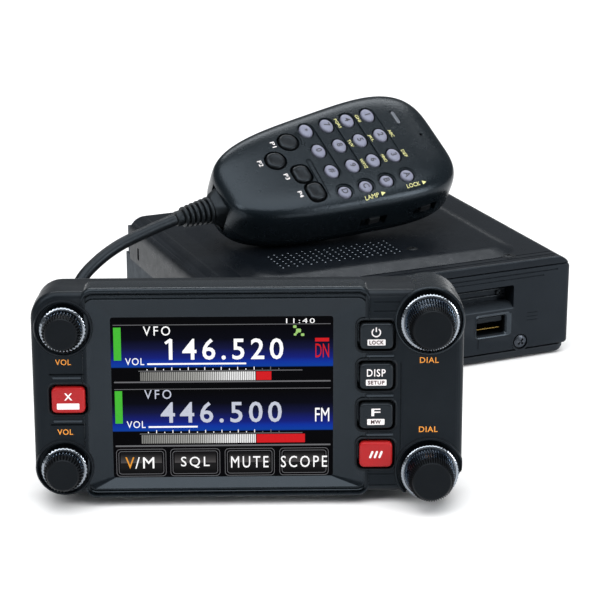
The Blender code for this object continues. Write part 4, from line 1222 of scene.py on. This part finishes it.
def make_head_keys():
    for key in HEAD_KEYS:
        spot = node_spot(key, FACE)
        centre = (spot.x, spot.y)
        cap = bmesh.new()
        slab(cap, *KEY_SIZE, 1.6, centre,
             [(0.0, -3.3), *rounding(1.3, 0.7, steps=4), (2.2, 1.24), (3.4, 1.2)])
        red = key in ("memory_key", "network_key")
        piece(f"{key}_cap", cap, FACE, key, RED if red else KEYTOP,
              (key,))
        marks = bmesh.new()
        top = 1.22
        if key == "power_key":
            rings = []
            for step in range(19):
                angle = math.radians(125 + 290 * step / 18)
                out = Vector((math.cos(angle), math.sin(angle), 0.0))
                middle = Vector((spot.x - 0.2, spot.y + 1.35, top))
                rings.append([tuple(middle + out * reach + Vector((0, 0, z)))
                              for reach, z in ((1.15, 0.0), (1.55, 0.0), (1.55, 0.1),
                                               (1.15, 0.1))])
            skin(marks, rings)
            block(marks, (0.4, 1.5, 0.1), (spot.x - 0.2, spot.y + 2.3, top + 0.05))
        if key in ("display_key", "function_key"):
            text, width = ("DISP", 6.0) if key == "display_key" else ("F", 2.9)
            write(marks, text, 2.5, (spot.x - 0.1, spot.y + 1.3), top, width, 0.01, gap=1.15)
        if key == "memory_key":
            for shift in (-1.5, 0.0, 1.5):
                bar(marks, 2.6, 0.7, (spot.x + shift, spot.y + 0.1), top, top + 0.1, 1.2, 0.02)
        if key == "network_key":
            write(marks, "X", 2.4, (spot.x, spot.y + 1.3), top, 2.6, 0.02)
        plate_mesh = bmesh.new()
        if key != "memory_key":
            width = {"power_key": 5.8, "display_key": 6.6, "function_key": 5.6,
                     "network_key": 7.2}[key]
            slab(plate_mesh, width, 2.0, 0.25, (spot.x - 0.1, spot.y - 1.95),
                 [(0, top), (0, top + 0.06)], 3)
            absorb(marks, plate_mesh)
        piece(f"{key}_marks", marks, FACE, key, WHITE)
        words = {"power_key": ("LOCK", 4.6), "display_key": ("SETUP", 5.4),
                 "function_key": ("MW", 3.2)}
        if key in words:
            text, width = words[key]
            letters = write(bmesh.new(), text, 1.3, (spot.x - 0.1, spot.y - 1.95), top + 0.06,
                            width, 0.025, gap=1.15)
            piece(f"{key}_letters", letters, FACE, key, RED_INK)
        # The surround's near-black is painted shade in the gap and well round the key.
        rim = bmesh.new()
        outer = (KEY_SIZE[0] + 3.0, KEY_SIZE[1] + 3.0)
        inner = (KEY_SIZE[0] + 1.5, KEY_SIZE[1] + 1.5)
        skin(rim, [rect_ring(*outer, 2.6, -0.3, centre), rect_ring(*outer, 2.6, 0.02, centre),
                   rect_ring(outer[0] - 0.5, outer[1] - 0.5, 2.4, 0.22, centre),
                   rect_ring(inner[0] + 0.4, inner[1] + 0.4, 2.1, 0.22, centre),
                   rect_ring(*inner, 1.9, 0.0, centre), rect_ring(*inner, 1.9, -3.0, centre),
                   rect_ring(*outer, 2.6, -3.0, centre)], closed=True)
        piece(f"{key}_surround", rim, FACE, "control_head", WELL_BLACK_AND_SHADE)


def make_knobs():
    for name, (_, radius) in KNOBS.items():
        centre = knob_spot(name)
        dial = radius == DIAL_RADIUS
        teeth = 56 if dial else 36
        scale = radius / DIAL_RADIUS
        top = 11.4 if dial else 8.2
        lip = 2.7 if dial else 2.5
        notch = 0.35 if dial else 0.15
        collar = bmesh.new()
        skin(collar, [gear_ring(reach, depth, teeth, z, centre) for reach, depth, z in (
            (radius - 0.8, 0.0, 0.15), (radius - 0.1, 0.1, 0.4), (radius, notch, 0.9),
            (radius, notch, lip - 0.7), (radius - 0.15, 0.1, lip - 0.3),
            (radius - 0.55, 0.0, lip),
            (radius - 0.95, 0.0, lip + 0.1), (radius - 1.15, 0.0, lip - 0.3),
            (3.2, 0.0, lip - 0.3), (3.2, 0.0, 0.15))], closed=True)
        piece(f"{name}_collar", collar, FACE, name, CHROME)
        grip = bmesh.new()
        low = radius - 1.2
        high = 6.9 if dial else 5.8
        rings = [gear_ring(low, 0.9, teeth, lip - 0.4, centre),
                 gear_ring(low - 0.2 * scale, 1.0, teeth, lip + 0.9, centre),
                 gear_ring(high + 0.3 * scale, 1.0, teeth, top - 1.9, centre),
                 gear_ring(high, 0.6, teeth, top - 1.2, centre),
                 gear_ring(high - 0.35, 0.2, teeth, top - 0.95, centre)]
        skin(grip, rings)
        piece(f"{name}_grip", grip, FACE, name, RING, (name,))
        cap = bmesh.new()
        skin(cap, [gear_ring(reach, depth, teeth, z, centre) for reach, depth, z in (
            (high + 0.7, 0.7, top - 2.9), (high + 0.6, 0.75, top - 2.6),
            (high + 0.15, 0.7, top - 1.1), (high - 0.2, 0.4, top - 0.75),
            (high - 0.55, 0.0, top - 0.45), (high - 0.8, 0.0, top - 0.12),
            (high - 1.2, 0.0, top), (high - 1.6, 0.0, top - 0.1))])
        piece(f"{name}_cap", cap, FACE, name, CAP)


def make_head_labels():
    marks = bmesh.new()
    for y in (11.6, -11.9):
        write(marks, "VOL", 1.9, (-58.6, y), 0.0, 5.0, 0.008, gap=1.1)
    for y in (11.4, -12.0):
        write(marks, "DIAL", 1.9, (58.7, y), 0.0, 6.1, 0.008, gap=1.1)
    piece("knob_labels", marks, FACE, "control_head", ORANGE)


def finish_carried_head():
    finishes = {"display_module": BLACK, "head_bracket": CASTING, "upper_dial_shaft": STEEL,
                "lower_dial_shaft": STEEL}
    for node, material in finishes.items():
        mesh = frame["nodes"][node].data
        mesh.materials.clear()
        mesh.materials.append(material)


make_wings()
make_centre_frame()
make_bosses()
make_rear_case()
make_screen()
make_head_keys()
make_knobs()
make_head_labels()
finish_carried_head()

# ---------------------------------------------------------------- microphone

MIC_CENTRE = (-1.5, -8.75)
MIC_HALF_LENGTH = 49.25
MIC_HALF_WIDTH = 26.0
MIC_FLARE = 5.2
MIC_FRONT_DEPTH = 16.5
MIC_REAR_DEPTH = 13.0
MIC_SEAM = -16.0
END_POWER = 3.5
DEPTH_POWER = 7.0
SECTION_POWER = 6.0
REAR_POWER = 2.1
NUMBER_KEY = (6.6, 5.2)
LETTER_KEY = (5.4, 5.2)
ROUND_SOFT_KEY = (7.8, 7.6)
LONG_SOFT_KEY = (8.2, 6.6)
SOFT_KEYS = {"soft_key_1": ROUND_SOFT_KEY, "soft_key_2": ROUND_SOFT_KEY,
             "soft_key_3": LONG_SOFT_KEY, "soft_key_4": LONG_SOFT_KEY}
KEY_LEGENDS = ("1", "2", "3", "A", "4", "5", "6", "B", "7", "8", "9", "C", "*", "0", "#", "D")
KEY_WORDS = {"key_2": "ABC", "key_3": "DEF", "key_4": "GHI", "key_5": "JKL", "key_6": "MNO",
             "key_7": "PQRS", "key_8": "TUV", "key_9": "WXYZ"}
SIDE_SWITCH_UP = -11.0
TALK_TURN = math.radians(5.5)
STEP_SIZE = (9.0, 7.5, 4.8)
RELIEF_UP = -14.0
RELIEF_START = -50.0


def mic_form(inset, around_steps=96, along_steps=64):
    """The microphone's outer form: powers shape its length, width and depth."""
    rings = []
    for row in range(along_steps + 1):
        angle = math.pi * (row + 0.02) / (along_steps + 0.04)
        along = -math.cos(angle)
        reach = math.copysign(abs(along) ** (2 / END_POWER), along)
        spare = max(0.0, 1.0 - along * along)
        girth = spare ** (1 / END_POWER)
        depth_share = spare ** (1 / DEPTH_POWER)
        width = MIC_HALF_WIDTH - inset + MIC_FLARE * reach
        ring = []
        for column in range(around_steps):
            around = 2 * math.pi * column / around_steps
            cosine, sine = math.cos(around), math.sin(around)
            power = SECTION_POWER if sine > 0 else REAR_POWER
            thick = (MIC_FRONT_DEPTH if sine > 0 else MIC_REAR_DEPTH) - inset
            side = math.copysign(abs(cosine) ** (2 / power), cosine)
            depth = math.copysign(abs(sine) ** (2 / power), sine)
            ring.append((MIC_CENTRE[0] + width * girth * side,
                         MIC_CENTRE[1] + (MIC_HALF_LENGTH - inset) * reach,
                         MIC_SEAM + thick * depth_share * depth))
        rings.append(ring)
    return skin(bmesh.new(), rings)


def wall_at(y, up):
    """The outer half width of the microphone at a place along it and a height."""
    reach = (y - MIC_CENTRE[1]) / MIC_HALF_LENGTH
    girth = (1 - abs(reach) ** END_POWER) ** (1 / END_POWER)
    height = (up - MIC_SEAM) / MIC_FRONT_DEPTH
    section = (1 - height ** SECTION_POWER) ** (1 / SECTION_POWER)
    return (MIC_HALF_WIDTH + MIC_FLARE * reach) * girth * section


def face_at(x, y):
    """The height of the microphone's face at a place on it."""
    reach = min(0.999, abs(y - MIC_CENTRE[1]) / MIC_HALF_LENGTH)
    signed = math.copysign(reach, y - MIC_CENTRE[1])
    girth = (1 - reach ** END_POWER) ** (1 / END_POWER)
    share = abs(x - MIC_CENTRE[0]) / ((MIC_HALF_WIDTH + MIC_FLARE * signed) * girth)
    depth = MIC_FRONT_DEPTH * (1 - reach ** END_POWER) ** (1 / DEPTH_POWER)
    return MIC_SEAM + depth * (1 - min(0.999, share) ** SECTION_POWER) ** (
        1 / SECTION_POWER)


def sliced(bm, low=None, high=None):
    """The part of a closed mesh between two heights, with the cuts filled."""
    for z, direction in ((low, -1), (high, 1)):
        if z is None:
            continue
        cut = bmesh.ops.bisect_plane(bm, geom=bm.verts[:] + bm.edges[:] + bm.faces[:],
                                     plane_co=(0, 0, z), plane_no=(0, 0, direction),
                                     clear_outer=True)
        edges = [item for item in cut["geom_cut"] if isinstance(item, bmesh.types.BMEdge)]
        bmesh.ops.contextual_create(bm, geom=edges)
    return bm


def key_shapes():
    """Each face key's name, place on the face and size."""
    for name in PAD_KEYS:
        spot = node_spot(name, MIC)
        letter = name in ("key_a", "key_b", "key_c", "key_d")
        yield name, spot.x, spot.y, LETTER_KEY if letter else NUMBER_KEY
    for name, size in SOFT_KEYS.items():
        spot = node_spot(name, MIC)
        yield name, spot.x, spot.y, size


def stadium(bm, length, width, centre, low, high, turn=0.0):
    part = bmesh.new()
    slab(part, length, width, width / 2 - 0.01, (0, 0), [(0, low), (0, high)], 8)
    return absorb(bm, part, Matrix.Translation((*centre, 0)) @ Matrix.Rotation(turn, 4, "Z"))


def make_mic_shells():
    front = sliced(mic_form(0.0), low=MIC_SEAM + 0.15)
    cutter = bmesh.new()
    for name, x, y, size in key_shapes():
        grow = 0.8 if name.startswith("soft") else 0.55
        if size == LONG_SOFT_KEY:
            slab(cutter, size[0] + 2 * grow, size[1] + 2 * grow, 3.3, (x, y),
                 [(0, -3.2), (0, 4.0)])
        else:
            skin(cutter, [oval_ring(size[0] / 2 + grow, size[1] / 2 + grow, z, (x, y), 36)
                          for z in (-3.2, 4.0)])
    for name in ("lamp_switch", "lock_switch"):
        y = node_spot(name, MIC).y
        block(cutter, (10.0, 11.0, 5.0), (MIC_CENTRE[0] + wall_at(y, SIDE_SWITCH_UP) + 2.6, y,
                                          SIDE_SWITCH_UP - 0.9))
    talk = node_spot("push_to_talk", MIC)
    block(cutter, (16.0, 32.4, 9.0), (talk.x - 1.6, talk.y, talk.z), TALK_TURN)
    for name in ("up_key", "down_key"):
        spot = node_spot(name, MIC)
        block(cutter, (STEP_SIZE[0] + 0.8, 16.0, STEP_SIZE[2] + 0.8), tuple(spot))
    block(cutter, (13.6, 30.0, 13.2), (MIC_CENTRE[0], RELIEF_START - 12.0, RELIEF_UP))
    front = carve(front, cutter)
    grooves = bmesh.new()
    for row in range(4):
        y = 14.1 - 9.4 * row
        stadium(grooves, 30.2, 7.0, (-5.5, y), -0.15, 3.0)
        spun(grooves, [(4.0, -0.15), (4.0, 3.0)], (16.5, y), 36)
    stadium(grooves, 7.6, 2.4, (-12.4, 24.8), -0.8, 3.0)
    spun(grooves, [(0.7, -3.0), (0.7, 3.0)], (-1.5, 31.0), 16)
    front = carve(front, grooves)
    loops = bmesh.new()
    for width, length in ((2.3, 24.0), ):
        part = bmesh.new()
        skin(part, [rect_ring(length, width, width / 2 - 0.02, z) for z in (-0.1, 3.0)]
             + [rect_ring(length - 0.9, width - 0.9, width / 2 - 0.47, z) for z in (3.0, -0.1)],
             closed=True)
        absorb(loops, part, Matrix.Translation((9.2, -21.3, 0))
               @ Matrix.Rotation(math.radians(-3), 4, "Z"))
    spot = node_spot("soft_key_1", MIC)
    for reach in (5.4, 6.5):
        arc = []
        for step in range(9):
            angle = math.radians(55 + 9 * step)
            out = Vector((math.cos(angle), math.sin(angle), 0.0))
            middle = Vector((spot.x, spot.y, 0.0))
            arc.append([tuple(middle + out * (reach + across) + Vector((0, 0, z)))
                        for across, z in ((-0.2, -0.1), (0.2, -0.1), (0.2, 3.0), (-0.2, 3.0))])
        skin(loops, arc)
    front = carve(front, loops)
    piece("mic_front", front, MIC, "microphone", MIC_SKIN,
          ("mic_front_shell",), sharp=38.0)

    rear = sliced(mic_form(0.0), high=MIC_SEAM - 0.15)
    notch = bmesh.new()
    block(notch, (13.6, 30.0, 13.2), (MIC_CENTRE[0], RELIEF_START - 12.0, RELIEF_UP))
    rear = carve(rear, notch)
    piece("mic_rear", rear, MIC, "microphone", MIC_SKIN,
          ("mic_rear_shell",), sharp=38.0)
    core = sliced(mic_form(1.1, 64, 40), low=MIC_SEAM - 1.5, high=MIC_SEAM + 1.5)
    piece("mic_seam_core", core, MIC, "microphone", WELL_BLACK_AND_SHADE)


def drape(bm, lift=0.0):
    """Lays thin letters on the microphone's curved face."""
    for vert in bm.verts:
        vert.co.z += face_at(vert.co.x, vert.co.y) + lift
    return bm


def make_mic_keys():
    for (name, x, y, size), legend in zip(key_shapes(), KEY_LEGENDS + ("",) * 4):
        soft = name.startswith("soft")
        cap = bmesh.new()
        top = 1.1 if soft else 0.55
        levels = [(0.0, -2.0), (0.0, top - 0.9), (0.12, top - 0.5), (0.4, top - 0.2),
                  (0.9, top - 0.02), (1.6, top + 0.08), (2.6, top + 0.1)]
        if soft:
            levels[-2:] = [(1.5, top - 0.08), (2.6, top - 0.25)]
        if size == LONG_SOFT_KEY:
            slab(cap, *size, 2.7, (x, y), levels)
        else:
            skin(cap, [oval_ring(size[0] / 2 - inset, size[1] / 2 - inset, z, (x, y), 40)
                       for inset, z in levels])
        piece(f"{name}_cap", cap, MIC, name, MIC_RUBBER if soft else GREY,
              (name,))
        if legend:
            letters = write(bmesh.new(), legend, 1.4 if legend == "*" else 2.5, (x, y),
                            top + 0.06, None, 0.015)
            piece(f"{name}_legend", letters, MIC, name, DARK_INK)
        if name in KEY_WORDS:
            word = KEY_WORDS[name]
            letters = write(bmesh.new(), word, 1.35, (x + 0.6, y + 4.6), 0.0,
                            1.25 * len(word), 0.0)
            piece(f"{name}_word", drape(letters, -0.02), MIC, "microphone", YELLOW)
    marks = bmesh.new()
    for index, name in enumerate(SOFT_KEYS):
        spot = node_spot(name, MIC)
        x, y = spot.x - 0.6, spot.y - 6.3
        write(marks, f"P{index + 1}", 1.7, (x, y), 0.0, 2.9, 0.0)
    piece("soft_key_labels", drape(marks, -0.02), MIC, "microphone", WHITE)
    switches = bmesh.new()
    for text, y in (("LAMP", -4.2), ("LOCK", 14.6)):
        x = 21.2
        part = write(bmesh.new(), text, 1.6, (0, 0), 0.0, 6.0, 0.0)
        arrow = bmesh.new()
        skin(arrow, [[(4.2, -0.8, z), (6.0, 0.0, z), (4.2, 0.8, z)] for z in (0.0, 0.08)])
        absorb(part, arrow)
        absorb(switches, part, Matrix.Translation((x, y, 0.0))
               @ Matrix.Rotation(math.pi / 2, 4, "Z"))
    piece("side_switch_labels", drape(switches, -0.02), MIC, "microphone", YELLOW)
    lens = bmesh.new()
    slab(lens, 6.6, 1.6, 0.78, (-12.0, 24.8), [(0, -0.9), *rounding(0.35, 0.4)], 8)
    piece("lamp_lens", lens, MIC, "microphone", LENS)


def make_mic_relief():
    """The cord's strain relief: a square collar, six ribs and a tapered sleeve."""
    place = MIC @ axes(Vector((MIC_CENTRE[0], RELIEF_START, RELIEF_UP)) * MM,
                       RIGHT, UP, Vector((0.0, -1.0, 0.0)))
    collar = bmesh.new()
    skin(collar, [rect_ring(13.0, 12.6, 2.4, -2.8), rect_ring(13.4, 13.0, 2.4, 1.0),
                  rect_ring(13.4, 13.0, 2.4, 6.4), rect_ring(12.8, 12.4, 2.6, 7.2),
                  rect_ring(10.6, 10.4, 3.2, 10.4), rect_ring(9.4, 9.2, 3.6, 11.2)])
    piece("relief_collar", collar, place, "microphone", RUBBER,
          ("cord_strain_relief",))
    ribs = bmesh.new()
    profile = [(3.4, 9.0), (3.6, 11.0)]
    for index in range(6):
        radius = 5.3 - 0.26 * index
        start = 11.3 + 2.05 * index
        profile += [(radius - 1.3, start), (radius - 0.15, start + 0.2), (radius, start + 0.5),
                    (radius, start + 1.05), (radius - 0.15, start + 1.35),
                    (radius - 1.3, start + 1.6)]
    profile += [(3.0, 23.7), (2.95, 25.6), (2.75, 26.0), (2.4, 26.0)]
    spun(ribs, profile, (0, 0), 40)
    piece("relief_ribs", ribs, place, "microphone", RUBBER)


def finish_carried_mic():
    finishes = {"mic_hanger_stud": STEEL, "push_to_talk": MIC_RUBBER, "up_key": MIC_RUBBER,
                "down_key": MIC_RUBBER, "lamp_switch": BLACK, "lock_switch": BLACK}
    for node, material in finishes.items():
        mesh = frame["nodes"][node].data
        mesh.materials.clear()
        mesh.materials.append(material)


make_mic_shells()
make_mic_keys()
make_mic_relief()
finish_carried_mic()
